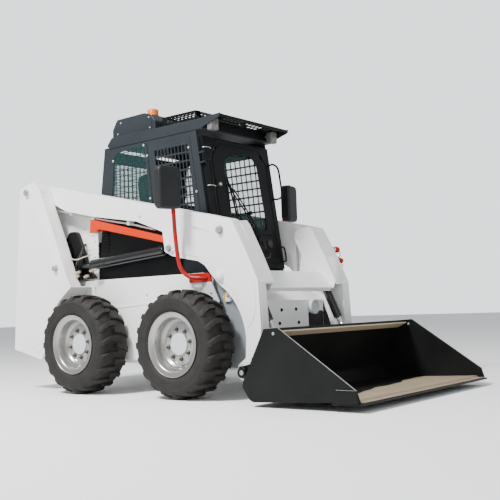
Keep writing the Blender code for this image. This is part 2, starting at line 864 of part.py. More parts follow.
# ---------------------------------------------------------------- cab door
def door_point(up, depth=0.0):
    """A point on the door's plane: its share of the height, and a depth behind its face."""
    foot, head = Vector(DOOR_FOOT), Vector(DOOR_HEAD)
    along = (head - foot).normalized()
    inward = Vector((along.y, -along.x))
    return foot + (head - foot) * up + inward * depth


def slanted(low, high, depth, thickness, low_x, high_x):
    """A slab on the door's plane between two shares of its height and two X planes."""
    points = [
        door_point(low, depth),
        door_point(low, depth + thickness),
        door_point(high, depth + thickness),
        door_point(high, depth),
    ]
    return prism([tuple(point) for point in points], low_x, high_x)


def hinge_point(up):
    """A point on the door's hinge axis, at a share of the door's height."""
    point = door_point(up, -HINGE_AXIS_OUT)
    return Vector((HINGE_AXIS_X, point.x, point.y))


def along_hinge(low, high, radius):
    start, end = hinge_point(low), hinge_point(high)
    return cylinder(start, end - start, (end - start).length, radius)


def door_hinge_lugs():
    """Pins on the right-hand post, each held by a lug above and below the door's knuckle."""
    solids = []
    for low in HINGE_PLACES:
        high = low + HINGE_SHARE
        solids.append(along_hinge(low - 0.012, high + 0.012, HINGE_PIN))
        for start in (low - 0.014, high + 0.002):
            lug = slanted(
                start,
                start + 0.012,
                -HINGE_AXIS_OUT - 0.010,
                HINGE_AXIS_OUT + 0.010 + DOOR_THICK + DOOR_SEAL + 0.010,
                HINGE_AXIS_X - 0.010,
                HINGE_AXIS_X + 0.010,
            )
            solids.append(lug)
    return solids


def make_door():
    half = DOOR_HALF
    frame = slanted(0.0, 1.0, 0.0, DOOR_THICK, -half, DOOR_FREE_X)
    solids = [frame]
    cuts = [slanted(DOOR_GLASS_LOW, DOOR_GLASS_HIGH, -0.1, 0.3, -DOOR_GLASS_HALF, DOOR_GLASS_HALF)]
    for low in HINGE_PLACES:
        high = low + HINGE_SHARE
        solids.append(along_hinge(low, high, HINGE_RADIUS))
        leaf_in = -half + 0.060
        solids.append(slanted(low + 0.004, high - 0.004, -0.008, 0.010, HINGE_AXIS_X + 0.010, leaf_in))
        cuts.append(along_hinge(low - 0.02, high + 0.02, HINGE_PIN + PIN_PLAY))
    node("door_frame", "door", black_paint, solids, cuts)
    pane = slanted(
        DOOR_GLASS_LOW + 0.0005,
        DOOR_GLASS_HIGH - 0.0005,
        0.008,
        GLASS,
        -DOOR_GLASS_HALF + GAP,
        DOOR_GLASS_HALF - GAP,
    )
    node("door_glass", "door", glass, [pane])


# ---------------------------------------------------------------- mirrors
def make_mirrors():
    for name, side in SIDES:
        route = smooth_route(
            [
                (-0.566, -0.020, 0.905),
                (-0.620, 0.000, 0.910),
                (-0.655, 0.055, 0.985),
                (-0.672, 0.095, 1.100),
                (-0.705, 0.120, 1.300),
                (-0.740, 0.102, 1.400),
                (-0.740, 0.100, 1.470),
            ]
        )
        plate = box(-FENDER_HALF - GAP - 0.010, -FENDER_HALF - GAP, -0.050, 0.057, 0.870, 0.942)
        tube = swept(route, 0.016)
        node(f"mirror_arm_{name}", "machine", red_paint, [mirrored(s, side) for s in (plate, tube)])
        head = across(
            rounded(
                [(-0.885, 1.482, 0.03), (-0.700, 1.482, 0.03), (-0.690, 1.800, 0.05), (-0.895, 1.800, 0.05)]
            ),
            0.030,
            0.085,
        )
        socket = box(-0.760, -0.720, 0.085 - 0.01, 0.118, 1.4712, 1.540)
        node(f"mirror_{name}", "machine", black_paint, [mirrored(s, side) for s in (head, socket)])


# ---------------------------------------------------------------- lift arms
def arm_outline():
    leg = arc((0.0, AXLE_Z), TYRE_RADIUS + 0.100, 122.0, 176.0, 9)
    end = arc(ARM_PIVOT, ARM_END_RADIUS, -72.0, 103.0, 8)
    return rounded(
        end
        + [
            (0.441, 1.528, 0.300),
            (-0.400, 1.328, 0.060),
            (-0.531, 1.080, 0.200),
            (-0.632, 0.860, 0.040),
            (-0.649, 0.518),
            (-0.632, 0.360),
            (-0.560, 0.135, 0.050),
            (-0.425, 0.135, 0.050),
            (-0.425, 0.250, 0.030),
            (-0.500, 0.300, 0.030),
        ]
        + list(reversed(leg))
        + [
            (-0.170, 0.948),
            (-0.123, 1.000),
            (-0.060, 1.035),
            (0.123, 1.069),
            (0.215, 1.092, 0.020),
            (0.290, 1.130, 0.020),
            (0.310, 1.290, 0.010),
            (0.602, 1.399, 0.200),
            (1.117, 1.486),
            (1.493, 1.570),
            (1.644, 1.642, 0.080),
        ]
    )


def make_arms():
    into_slab = LEG_INNER_X + 0.003
    for name, side in SIDES:
        slab = prism(arm_outline(), -ARM_OUTER_X, -LEG_INNER_X)
        boom = prism(arm_outline(), -LEG_INNER_X - 0.002, -BOOM_INNER_X)
        ear = prism(
            rounded(
                [
                    (-0.245, 1.330, 0.050),
                    (-0.400, 1.328, 0.030),
                    (-0.531, 1.080, 0.100),
                    (-0.632, 0.860),
                    (-0.600, 0.800),
                    (-0.440, 0.860),
                    (-0.270, 0.950, 0.030),
                    (-0.300, 1.100, 0.050),
                    (-0.232, 1.230, 0.040),
                ]
            ),
            -EAR_X - EAR_PLATE,
            -EAR_X,
        )
        front_line = [(-0.632, 0.860), (-0.531, 1.080), (-0.420, 1.300)]
        face = strip(front_line, -0.012, -into_slab, -EAR_X)
        pin = across_pin(TILT_PIN, -into_slab, -EAR_X + 0.004, TILT_PIN_RADIUS)
        eye_pocket = prism(
            [(0.140, 0.900), (0.400, 0.900), (0.400, 1.235), (0.140, 1.215)],
            -LIFT_CYL_X - ROD_EYE_POCKET,
            -LIFT_CYL_X + ROD_EYE_POCKET,
        )
        pivot_bore = across_pin(ARM_PIVOT, -0.7, -0.4, PIVOT_PIN_RADIUS + PIN_PLAY)
        coupler_bore = across_pin(COUPLER_PIN, -0.7, -0.5, CYLINDER_PIN_RADIUS + PIN_PLAY)
        solids = [mirrored(solid, side) for solid in (slab, behind_elbow(boom), ear, face, pin)]
        cuts = [mirrored(cut, side) for cut in (eye_pocket, pivot_bore, coupler_bore)]
        node(f"arm_{name}", "arms", white_paint, solids, cuts)


def behind_elbow(boom):
    """The part of the boom's inner slab that lies behind the elbow."""
    bmesh.ops.bisect_plane(
        boom,
        geom=boom.verts[:] + boom.edges[:] + boom.faces[:],
        plane_co=(0, ELBOW_Y, 0),
        plane_no=(0, -1, 0),
        clear_outer=True,
    )
    bmesh.ops.holes_fill(boom, edges=boom.edges)
    bmesh.ops.recalc_face_normals(boom, faces=boom.faces)
    return boom


def make_crossmember():
    reach = EAR_X - GAP
    beam = prism(
        [(-0.488, 0.944), (-0.601, 0.809), (-0.575, 0.780), (-0.450, 0.905), (-0.455, 0.944)],
        -reach,
        reach,
    )
    node("arm_crossmember", "arms", white_paint, [beam])


def make_arm_support():
    line = [(1.184, 1.470), (0.3062, 1.255), (0.2993, 1.200), (1.078, 1.377), (1.197, 1.351)]
    bar = prism(line, -ARM_OUTER_X + 0.010, -LIFT_CYL_X + 0.030)
    node("arm_support", "arms", orange_paint, [bar])


# ---------------------------------------------------------------- cylinders
def make_cylinder(
    kind, name, side, base, eye, x, barrel, rod, start, end, bore_start, rod_length, pin_radius
):
    """A barrel hinged at its base eye and a rod sliding in it, ending at the rod's eye."""
    origin = Vector((x * side, base[0], base[1]))
    target = Vector((x * side, eye[0], eye[1]))
    reach = (target - origin).length
    direction = (target - origin).normalized()
    lug_half = 0.024
    tube = turned(
        [
            (start, 0),
            (start, barrel),
            (end, barrel),
            (end, rod + PIN_PLAY),
            (bore_start, rod + PIN_PLAY),
            (bore_start, 0),
        ],
        origin,
        direction,
        16,
    )
    lug = across_pin(base, x * side - lug_half, x * side + lug_half, pin_radius + 0.020, 16)
    neck = cylinder(origin, direction, start + 0.010, min(lug_half - 0.002, barrel * 0.9))
    bore = across_pin(base, x * side - 0.05, x * side + 0.05, pin_radius + PIN_PLAY)
    barrel_name = f"{kind}_barrel_{name}"
    node(barrel_name, barrel_name, black_paint, [tube, neck, lug], [bore], smooth=True)
    shaft = cylinder(origin + direction * (reach - rod_length), direction, rod_length, rod, 16)
    eye_ring = across_pin(eye, x * side - lug_half, x * side + lug_half, rod + 0.012, 16)
    eye_hole = across_pin(eye, x * side - 0.05, x * side + 0.05, rod * 0.6, 16)
    node(
        f"{kind}_rod_{name}", f"{kind}_rod_{name}", chrome, [shaft, eye_ring], [eye_hole], smooth=True
    )


def make_cylinders():
    for name, side in SIDES:
        make_cylinder(
            "lift",
            name,
            side,
            LIFT_BASE,
            LIFT_EYE,
            LIFT_CYL_X,
            LIFT_BARREL_RADIUS,
            LIFT_ROD_RADIUS,
            LIFT_BARREL_START,
            LIFT_BARREL_END,
            LIFT_BARREL_START + 0.020,
            LIFT_ROD_LENGTH,
            CYLINDER_PIN_RADIUS,
        )
        make_cylinder(
            "tilt",
            name,
            side,
            TILT_PIN,
            COUPLER_EYE,
            TILT_CYL_X,
            TILT_BARREL_RADIUS,
            TILT_ROD_RADIUS,
            0.030,
            TILT_BARREL_END,
            TILT_BORE_START,
            TILT_ROD_LENGTH,
            TILT_PIN_RADIUS,
        )


# ---------------------------------------------------------------- bucket
def bucket_line():
    return rounded(
        [
            BUCKET_TOP_REAR,
            (BUCKET_BACK_LOW[0], BUCKET_BACK_LOW[1], 0.050),
            (BUCKET_HEEL[0], BUCKET_HEEL[1], 0.060),
            FLOOR_FRONT,
        ]
    )


def make_bucket():
    line = bucket_line()
    reach = BUCKET_HALF - BUCKET_PLATE_INSET
    shell = prism(line + list(reversed(offset(line, -BUCKET_PLATE))), -reach, reach)
    solids = [shell]
    side_outline = [BUCKET_TOP_REAR, BUCKET_TOP_FRONT, (-1.617, 0.136), BUCKET_LIP] + list(
        reversed(line[1:-1])
    )
    for side in (-1, 1):
        plate = prism(side_outline, side * (BUCKET_HALF - BUCKET_PLATE), side * BUCKET_HALF)
        solids.append(plate)
    beam = [BUCKET_TOP_REAR, (-0.990, 0.524), (-0.990, 0.500), (-0.905, 0.462)]
    solids.append(prism(beam, -reach, reach))
    node("bucket", "coupler", bucket_paint, solids)
    slope = (FLOOR_FRONT[1] - BUCKET_HEEL[1]) / (FLOOR_FRONT[0] - BUCKET_HEEL[0])
    rear_y = BUCKET_LIP[0] + EDGE_LENGTH
    front_z = BUCKET_HEEL[1] + slope * (BUCKET_LIP[0] - BUCKET_HEEL[0])
    rear_z = BUCKET_HEEL[1] + slope * (rear_y - BUCKET_HEEL[0])
    edge = prism(
        [
            (rear_y, rear_z - GAP),
            (BUCKET_LIP[0] - 0.020, front_z - GAP - 0.002),
            (BUCKET_LIP[0] - 0.020, front_z - EDGE_THICK),
            (rear_y, rear_z - EDGE_THICK),
        ],
        -BUCKET_HALF,
        BUCKET_HALF,
    )
    node("cutting_edge", "coupler", worn_steel, [edge])


def make_coupler():
    back = [BUCKET_TOP_REAR, BUCKET_BACK_LOW]
    near = offset([sloped(*back, 0.06), sloped(*back, 0.84)], 0.0006)
    far = offset([sloped(*back, 0.06), sloped(*back, 0.84)], 0.0006 + COUPLER_PLATE)
    plate = prism(near + list(reversed(far)), -COUPLER_HALF, COUPLER_HALF)
    solids = [plate]
    low = sloped(near[0], near[1], 0.98)
    mid = sloped(near[0], near[1], 0.55)
    q_y, q_z = COUPLER_PIN
    lug = rounded(
        [
            low,
            (q_y, q_z - 0.046, 0.02),
            (q_y + 0.045, q_z - 0.030, 0.02),
            (q_y + 0.045, q_z + 0.040, 0.02),
            (q_y - 0.020, q_z + 0.050, 0.02),
            mid,
        ]
    )
    t_y, t_z = COUPLER_EYE
    ear = rounded(
        [
            sloped(near[0], near[1], 0.60),
            (t_y + 0.020, t_z - 0.050, 0.02),
            (t_y + 0.042, t_z + 0.000, 0.02),
            (t_y + 0.010, t_z + 0.042, 0.02),
            sloped(near[0], near[1], 0.05),
        ]
    )
    for side in (-1, 1):
        inner = LUG_INNER_X + LUG_INNER_PLATE
        outer = LUG_OUTER_X + LUG_OUTER_PLATE
        solids.append(prism(lug, side * LUG_INNER_X, side * inner))
        solids.append(prism(lug, side * LUG_OUTER_X, side * outer))
        solids.append(prism(ear, side * LUG_INNER_X, side * inner))
        solids.append(prism(ear, side * EAR_X, side * (EAR_X + EAR_PLATE)))
        pin_ends = (side * (LUG_INNER_X - 0.002), side * (outer + 0.025))
        solids.append(across_pin(COUPLER_PIN, *pin_ends, CYLINDER_PIN_RADIUS))
    node("quick_attach", "coupler", black_paint, solids)


# ---------------------------------------------------------------- build
def make_pivots():
    pivot("machine")
    for which in ("front", "rear"):
        y, z = axle_centre(which)
        for name, side in SIDES:
            middle = side * (TYRE_OUTER_X - TYRE_WIDTH / 2)
            pivot(f"wheel_{which}_{name}", "machine", (middle, y, z))
    pivot("door", "machine", hinge_point(0.0))
    pivot("rear_door", "machine", (REAR_HINGE_X, REAR_HINGE_Y, 0.0))
    pivot("arms", "machine", (0.0, *ARM_PIVOT))
    pivot("coupler", "arms", (0.0, *COUPLER_PIN))
    for name, side in SIDES:
        pivot(f"lift_barrel_{name}", "machine", (side * LIFT_CYL_X, *LIFT_BASE))
        pivot(f"lift_rod_{name}", f"lift_barrel_{name}", (side * LIFT_CYL_X, *LIFT_EYE))
        pivot(f"tilt_barrel_{name}", "arms", (side * TILT_CYL_X, *TILT_PIN))
        pivot(f"tilt_rod_{name}", f"tilt_barrel_{name}", (side * TILT_CYL_X, *COUPLER_EYE))


make_pivots()
make_chassis()
make_axles()
make_towers()
make_engine_bay()
make_wheels()
make_cab()
make_roof_fittings()
make_seat()
make_door()
make_mirrors()
make_arms()
make_crossmember()
make_arm_support()
make_cylinders()
make_bucket()
make_coupler()
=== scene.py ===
import bpy
import bmesh
import json
import math
from mathutils import Matrix, Vector


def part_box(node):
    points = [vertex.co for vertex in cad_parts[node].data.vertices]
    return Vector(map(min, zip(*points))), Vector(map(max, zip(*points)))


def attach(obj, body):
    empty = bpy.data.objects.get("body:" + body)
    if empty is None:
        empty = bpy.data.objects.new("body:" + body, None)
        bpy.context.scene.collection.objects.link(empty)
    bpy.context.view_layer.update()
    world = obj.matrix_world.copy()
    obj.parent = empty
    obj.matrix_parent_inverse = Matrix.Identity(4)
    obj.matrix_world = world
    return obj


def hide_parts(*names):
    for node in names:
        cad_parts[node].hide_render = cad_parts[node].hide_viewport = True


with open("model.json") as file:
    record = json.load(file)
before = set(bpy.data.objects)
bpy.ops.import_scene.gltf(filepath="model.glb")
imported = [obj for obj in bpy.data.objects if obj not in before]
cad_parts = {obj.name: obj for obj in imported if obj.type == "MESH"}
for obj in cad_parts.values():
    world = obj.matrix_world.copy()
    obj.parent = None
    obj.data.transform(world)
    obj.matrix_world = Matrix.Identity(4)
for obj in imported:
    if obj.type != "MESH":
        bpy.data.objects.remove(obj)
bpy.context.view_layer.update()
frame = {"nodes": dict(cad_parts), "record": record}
scene = bpy.context.scene
nodes = frame["nodes"]
bodyOf = {node: body for body, names in frame["record"]["behaviour"]["bodies"].items() for node in names}
slotOf = {row["node"]: row["material_slot"] for row in frame["record"]["subparts"]}
wheelLow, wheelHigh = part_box("tyre_front_right")
frontAxleY = (wheelLow[1] + wheelHigh[1]) / 2
sides = (("Right", -1), ("Left", 1))


# shader helpers
def addNode(tree, kind, **values):
    node = tree.nodes.new(kind)
    for key, value in values.items():
        if key in node.inputs:
            node.inputs[key].default_value = value
        else:
            setattr(node, key, value)
    return node


def mixColours(tree, factor, first, second):
    mix = addNode(tree, "ShaderNodeMix", data_type="RGBA")
    for socket, value in ((mix.inputs[0], factor), (mix.inputs[6], first), (mix.inputs[7], second)):
        if isinstance(value, bpy.types.NodeSocket):
            tree.links.new(value, socket)
        elif isinstance(value, float):
            socket.default_value = value
        else:
            socket.default_value = (*value, 1.0)
    return mix.outputs[2]


def remap(tree, source, low, high, newLow, newHigh):
    node = addNode(tree, "ShaderNodeMapRange")
    tree.links.new(source, node.inputs["Value"])
    for key, value in (("From Min", low), ("From Max", high), ("To Min", newLow), ("To Max", newHigh)):
        node.inputs[key].default_value = value
    return node.outputs["Result"]


def combine(tree, operation, first, second, clamp=False):
    node = addNode(tree, "ShaderNodeMath", operation=operation, use_clamp=clamp)
    for socket, value in zip(node.inputs, (first, second)):
        if isinstance(value, bpy.types.NodeSocket):
            tree.links.new(value, socket)
        else:
            socket.default_value = value
    return node.outputs[0]


def noise(tree, place, scale, detail=5.0, roughness=0.6):
    node = addNode(tree, "ShaderNodeTexNoise", Scale=scale, Detail=detail, Roughness=roughness)
    tree.links.new(place, node.inputs["Vector"])
    return node.outputs["Fac"]


def finish(
    name, base, tint, rough, metal=0.0, dust=0.12, mud=0.0, mudTop=0.7, grain=160.0, peel=0.05, patch=2.5,
    streak=0.0, dustTint=(0.40, 0.36, 0.30), alpha=1.0, shine=0.5,
):
    # patchy colour, dust on faces that look up, dirt near the ground, fine grain in the gloss and the bump
    made = bpy.data.materials.new(name)
    made.use_nodes = True
    tree = made.node_tree
    link = tree.links.new
    shader = tree.nodes["Principled BSDF"]
    place = addNode(tree, "ShaderNodeTexCoord").outputs["Object"]
    patches = noise(tree, place, patch)
    grit = noise(tree, place, grain, 8.0, 0.7)
    colour = mixColours(tree, remap(tree, patches, 0.35, 0.68, 0.0, 1.0), base, tint)
    if streak > 0.0:
        drawn = addNode(tree, "ShaderNodeMapping", vector_type="POINT")
        drawn.inputs["Scale"].default_value = (1.0, 30.0, 2.0)
        link(place, drawn.inputs["Vector"])
        lines = noise(tree, drawn.outputs["Vector"], 6.0, 6.0, 0.7)
        colour = mixColours(tree, remap(tree, lines, 0.5, 0.75, 0.0, streak), colour, dustTint)
    facing = addNode(tree, "ShaderNodeSeparateXYZ")
    link(addNode(tree, "ShaderNodeNewGeometry").outputs["Normal"], facing.inputs[0])
    height = addNode(tree, "ShaderNodeSeparateXYZ")
    link(place, height.inputs[0])
    blotch = remap(tree, noise(tree, place, 9.0, 6.0, 0.65), 0.4, 0.75, 0.15, 1.0)
    settled = combine(tree, "MULTIPLY", remap(tree, facing.outputs[2], 0.3, 1.0, 0.0, dust), blotch, True)
    low = combine(tree, "MULTIPLY", remap(tree, height.outputs[2], mudTop, 0.0, 0.0, mud), blotch, True)
    dirt = combine(tree, "MAXIMUM", settled, low)
    link(mixColours(tree, dirt, colour, dustTint), shader.inputs["Base Color"])
    gloss = combine(tree, "ADD", remap(tree, grit, 0.3, 0.7, rough - 0.04, rough + 0.06), patchGloss(tree, patches))
    link(combine(tree, "ADD", gloss, combine(tree, "MULTIPLY", dirt, 0.4), True), shader.inputs["Roughness"])
    bump = addNode(tree, "ShaderNodeBump", Strength=peel, Distance=0.002)
    link(combine(tree, "ADD", grit, noise(tree, place, grain / 6, 3.0)), bump.inputs["Height"])
    link(bump.outputs["Normal"], shader.inputs["Normal"])
    shader.inputs["Metallic"].default_value = metal
    shader.inputs["Alpha"].default_value = alpha
    shader.inputs["Specular IOR Level"].default_value = shine
    return made


def patchGloss(tree, patches):
    return remap(tree, patches, 0.3, 0.7, -0.03, 0.05)


looks = {
    "white_paint": finish("whitePaint", (0.86, 0.86, 0.845), (0.81, 0.81, 0.80), 0.34, mud=0.10),
    "slate_paint": finish(
        "slatePaint", (0.022, 0.027, 0.032), (0.017, 0.021, 0.025), 0.36, dust=0.05, peel=0.08, shine=0.20
    ),
    "black_paint": finish(
        "blackPaint", (0.0035, 0.004, 0.0045), (0.006, 0.0065, 0.007), 0.34, dust=0.03, peel=0.06, shine=0.15
    ),
    "cylinder_paint": finish(
        "cylinderPaint", (0.004, 0.0045, 0.006), (0.006, 0.007, 0.009), 0.16, dust=0.03, shine=0.5
    ),
    "red_paint": finish("redPaint", (0.36, 0.0045, 0.002), (0.31, 0.004, 0.002), 0.30, dust=0.03, shine=0.3),
    "orange_paint": finish(
        "orangePaint", (0.56, 0.030, 0.0015), (0.50, 0.026, 0.0015), 0.36, dust=0.03, shine=0.25
    ),
    "bucket_paint": finish(
        "bucketPaint", (0.0045, 0.005, 0.005), (0.008, 0.0085, 0.0085), 0.40, dust=0.03, mud=0.02, peel=0.10,
        shine=0.14, dustTint=(0.16, 0.14, 0.12)
    ),
    "worn_steel": finish(
        "wornSteel", (0.62, 0.51, 0.36), (0.52, 0.42, 0.29), 0.50, 0.10, streak=0.35, grain=220.0, peel=0.15,
        dustTint=(0.55, 0.47, 0.36)
    ),
    "bright_edge": finish("brightEdge", (0.42, 0.41, 0.39), (0.26, 0.26, 0.25), 0.38, 0.5, patch=14.0, peel=0.12),
    "chrome": finish("chromeRod", (0.82, 0.83, 0.84), (0.74, 0.75, 0.77), 0.10, 1.0, dust=0.05, peel=0.01),
    "zinc": finish("zincSteel", (0.70, 0.69, 0.66), (0.58, 0.57, 0.53), 0.30, 0.85, grain=260.0),
    "brass_yellow": finish("passivatedSteel", (0.66, 0.60, 0.42), (0.52, 0.47, 0.34), 0.32, 0.7, grain=260.0),
    "rim_silver": finish("rimSilver", (0.40, 0.395, 0.38), (0.29, 0.285, 0.275), 0.28, 0.85, mud=0.12, mudTop=0.5),
    "disc_grey": finish(
        "discGrey", (0.33, 0.35, 0.36), (0.27, 0.285, 0.295), 0.42, 0.2, mud=0.15, mudTop=0.6, patch=9.0
    ),
    # painted shade: a dark bluish grey for the shadowed chassis side under the arm's wheel arc
    "painted_shade_grey": finish("paintedShadeGrey", (0.26, 0.285, 0.30), (0.21, 0.23, 0.245), 0.45, mud=0.15),
    "rim_dust": finish("rimDust", (0.30, 0.24, 0.17), (0.42, 0.38, 0.32), 0.6, 0.3, patch=12.0, peel=0.2),
    "hub_grey": finish("hubGrey", (0.56, 0.60, 0.62), (0.48, 0.52, 0.54), 0.45, 0.0, patch=10.0),
    "pin_grey": finish("pinGrey", (0.34, 0.36, 0.36), (0.26, 0.28, 0.28), 0.40, 0.4, patch=20.0),
    "brass": finish("studBrass", (0.17, 0.135, 0.085), (0.085, 0.07, 0.055), 0.45, 0.7, patch=60.0),
    "tyre_rubber": finish(
        "tyreRubber", (0.010, 0.009, 0.0085), (0.020, 0.018, 0.016), 0.66, dust=0.22, mud=0.08, grain=420.0,
        peel=0.30, patch=7.0, dustTint=(0.11, 0.092, 0.075), shine=0.30
    ),
    "black_rubber": finish(
        "blackRubber", (0.005, 0.005, 0.005), (0.009, 0.009, 0.009), 0.55, grain=300.0, peel=0.15, dust=0.03,
        shine=0.3
    ),
    "mirror_shell": finish(
        "mirrorShell", (0.006, 0.0065, 0.0075), (0.010, 0.011, 0.012), 0.50, grain=420.0, peel=0.20, dust=0.03,
        shine=0.35
    ),
    "tinted_glass": finish(
        "tintedGlass", (0.018, 0.062, 0.062), (0.014, 0.050, 0.050), 0.04, dust=0.0, grain=4.0, peel=0.0,
        alpha=0.26, shine=0.6
    ),
    "beacon_orange": finish("beaconLens", (0.92, 0.20, 0.006), (0.84, 0.15, 0.005), 0.14, dust=0.02, peel=0.02),
    "black_vinyl": finish(
        "seatVinyl", (0.008, 0.008, 0.009), (0.013, 0.013, 0.014), 0.52, grain=380.0, peel=0.22, dust=0.04,
        shine=0.35
    ),
    "cast_iron": finish(
        "castIron", (0.05, 0.05, 0.05), (0.03, 0.03, 0.03), 0.6, 0.5, grain=120.0, peel=0.3, mud=0.2
    ),
    "lamp_face": finish("lampFace", (0.36, 0.35, 0.32), (0.16, 0.16, 0.15), 0.22, 0.5, patch=60.0, grain=500.0),
    "lamp_body": finish("lampBody", (0.22, 0.22, 0.21), (0.15, 0.15, 0.15), 0.45, 0.4, patch=30.0),
    "yellow_mark": finish("yellowMark", (0.80, 0.42, 0.04), (0.70, 0.36, 0.04), 0.4, patch=20.0)
}
print("finishes made")


# shapes, each a bmesh
def roundLine(corners, steps=5):
    # (a, b, radius) corners, each rounded by its radius
    line = []
    count = len(corners)
    for i, corner in enumerate(corners):
        here = Vector(corner[:2])
        radius = corner[2] if len(corner) > 2 else 0.0
        if radius <= 0.0:
            line.append(tuple(here))
            continue
        before = (Vector(corners[i - 1][:2]) - here).normalized()
        after = (Vector(corners[(i + 1) % count][:2]) - here).normalized()
        half = before.angle(after) / 2
        start = here + before * (radius / math.tan(half))
        end = here + after * (radius / math.tan(half))
        centre = here + (before + after).normalized() * (radius / math.sin(half))
        arm = start - centre
        turn = arm.angle_signed(end - centre)
        for step in range(steps + 1):
            angle = -turn * step / steps
            line.append(
                (
                    centre.x + arm.x * math.cos(angle) - arm.y * math.sin(angle),
                    centre.y + arm.x * math.sin(angle) + arm.y * math.cos(angle),
                )
            )
    return line


def evenLine(points, radius, steps=5):
    return roundLine([(*point, radius) for point in points], steps)


def roundBox(a0, a1, b0, b1, radius, steps=5):
    # rectangle with round corners
    return evenLine([(a0, b0), (a1, b0), (a1, b1), (a0, b1)], radius, steps)


def slab(outline, lowX, highX):
    # solid with this (y, z) outline between two x
    bm = bmesh.new()
    low, high = sorted((lowX, highX))
    face = bm.faces.new([bm.verts.new((low, y, z)) for y, z in outline])
    pushed = bmesh.ops.extrude_face_region(bm, geom=[face])
    top = [item for item in pushed["geom"] if isinstance(item, bmesh.types.BMVert)]
    bmesh.ops.translate(bm, verts=top, vec=(high - low, 0, 0))
    bmesh.ops.recalc_face_normals(bm, faces=bm.faces)
    return bm


def box(x0, x1, y0, y1, z0, z1):
    return slab([(y0, z0), (y1, z0), (y1, z1), (y0, z1)], x0, x1)


def frontSlab(outline, lowY, highY):
    # solid with this (x, z) outline between two y
    bm = slab(outline, 0.0, highY - lowY)
    for vert in bm.verts:
        vert.co = Vector((vert.co.y, lowY + vert.co.x, vert.co.z))
    bmesh.ops.recalc_face_normals(bm, faces=bm.faces)
    return bm


def ringSlab(outer, inner, lowX, highX):
    # flat frame between two outlines with the same number of points
    bm = bmesh.new()
    rows = [[bm.verts.new((x, y, z)) for y, z in line] for x in (lowX, highX) for line in (outer, inner)]
    count = len(outer)
    for first, second in ((0, 1), (1, 3), (3, 2), (2, 0)):
        for i in range(count):
            j = (i + 1) % count
            bm.faces.new((rows[first][i], rows[first][j], rows[second][j], rows[second][i]))
    bmesh.ops.recalc_face_normals(bm, faces=bm.faces)
    return bm


def shrunk(outline, distance):
    # closed outline moved inwards
    points = [Vector(point) for point in outline]
    area = sum(a.cross(b) for a, b in zip(points, points[1:] + points[:1]))
    turn = 1.0 if area > 0 else -1.0
    moved = []
    for i, here in enumerate(points):
        before = (here - points[i - 1]).normalized()
        after = (points[(i + 1) % len(points)] - here).normalized()
        first = Vector((-before.y, before.x)) * turn
        second = Vector((-after.y, after.x)) * turn
        middle = (first + second).normalized()
        moved.append(tuple(here + middle * (distance / max(0.3, middle.dot(first)))))
    return moved


def lathe(profile, centre, axis, steps=48, closed=False):
    # (along, radius) points turned about an axis
    bm = bmesh.new()
    forward = Vector(axis).normalized()
    down = Vector((0, 0, -1)) if abs(forward.z) < 0.9 else Vector((1, 0, 0))
    side = (down - forward * down.dot(forward)).normalized()
    other = forward.cross(side)
    rings = []
    for along, radius in profile:
        middle = Vector(centre) + forward * along
        count = 1 if radius < 1e-9 else steps
        turns = [2 * math.pi * step / steps for step in range(count)]
        rings.append([bm.verts.new(middle + (side * math.cos(a) + other * math.sin(a)) * radius) for a in turns])
    pairs = list(zip(rings, rings[1:])) + ([(rings[-1], rings[0])] if closed else [])
    for first, second in pairs:
        for step in range(steps):
            after = (step + 1) % steps
            corners = [first[step % len(first)]]
            corners += [first[after]] if len(first) > 1 else []
            corners += [second[after]] if len(second) > 1 else []
            corners.append(second[step % len(second)])
            bm.faces.new(corners)
    bmesh.ops.recalc_face_normals(bm, faces=bm.faces)
    return bm


def rod(start, end, radius, steps=20):
    start, end = Vector(start), Vector(end)
    length = (end - start).length
    edge = min(radius * 0.15, length * 0.2)
    profile = [
        (0, 0), (0, radius - edge), (edge, radius), (length - edge, radius), (length, radius - edge), (length, 0)
    ]
    return lathe(profile, start, end - start, steps)


def smoothPath(points, perSpan=6):
    knots = [Vector(point) for point in points]
    knots = [2 * knots[0] - knots[1]] + knots + [2 * knots[-1] - knots[-2]]
    route = []
    for i in range(1, len(knots) - 2):
        a, b, c, d = knots[i - 1 : i + 3]
        for step in range(perSpan):
            t = step / perSpan
            route.append(
                0.5 * (2 * b + (c - a) * t + (2 * a - 5 * b + 4 * c - d) * t**2 + (3 * b - a - 3 * c + d) * t**3)
            )
    return route + [knots[-2]]


def tube(points, radius, steps=12, smoothed=True):
    route = smoothPath(points) if smoothed else [Vector(point) for point in points]
    bm = bmesh.new()
    side = None
    rings = []
    for i, here in enumerate(route):
        forward = (route[min(i + 1, len(route) - 1)] - route[max(i - 1, 0)]).normalized()
        side = forward.orthogonal() if side is None else side - forward * side.dot(forward)
        side.normalize()
        other = forward.cross(side)
        turns = [2 * math.pi * step / steps for step in range(steps)]
        rings.append([bm.verts.new(here + (side * math.cos(a) + other * math.sin(a)) * radius) for a in turns])
    for first, second in zip(rings, rings[1:]):
        for step in range(steps):
            after = (step + 1) % steps
            bm.faces.new([first[step], first[after], second[after], second[step]])
    bm.faces.new(list(reversed(rings[0])))
    bm.faces.new(rings[-1])
    bmesh.ops.recalc_face_normals(bm, faces=bm.faces)
    return bm


def flipped(bm):
    # mirror image across the machine's middle
    for vert in bm.verts:
        vert.co.x = -vert.co.x
    bmesh.ops.reverse_faces(bm, faces=bm.faces)
    return bm


def forSide(side, shapes):
    return [flipped(bm) if side > 0 else bm for bm in shapes]


def meshOf(name, shapes, shift=True):
    whole = bmesh.new()
    for bm in shapes:
        part = bpy.data.meshes.new("part")
        bm.to_mesh(part)
        bm.free()
        whole.from_mesh(part)
        bpy.data.meshes.remove(part)
    if shift:
        bmesh.ops.translate(whole, verts=whole.verts, vec=(0, frontAxleY, 0))
    mesh = bpy.data.meshes.new(name)
    whole.to_mesh(mesh)
    whole.free()
    return mesh


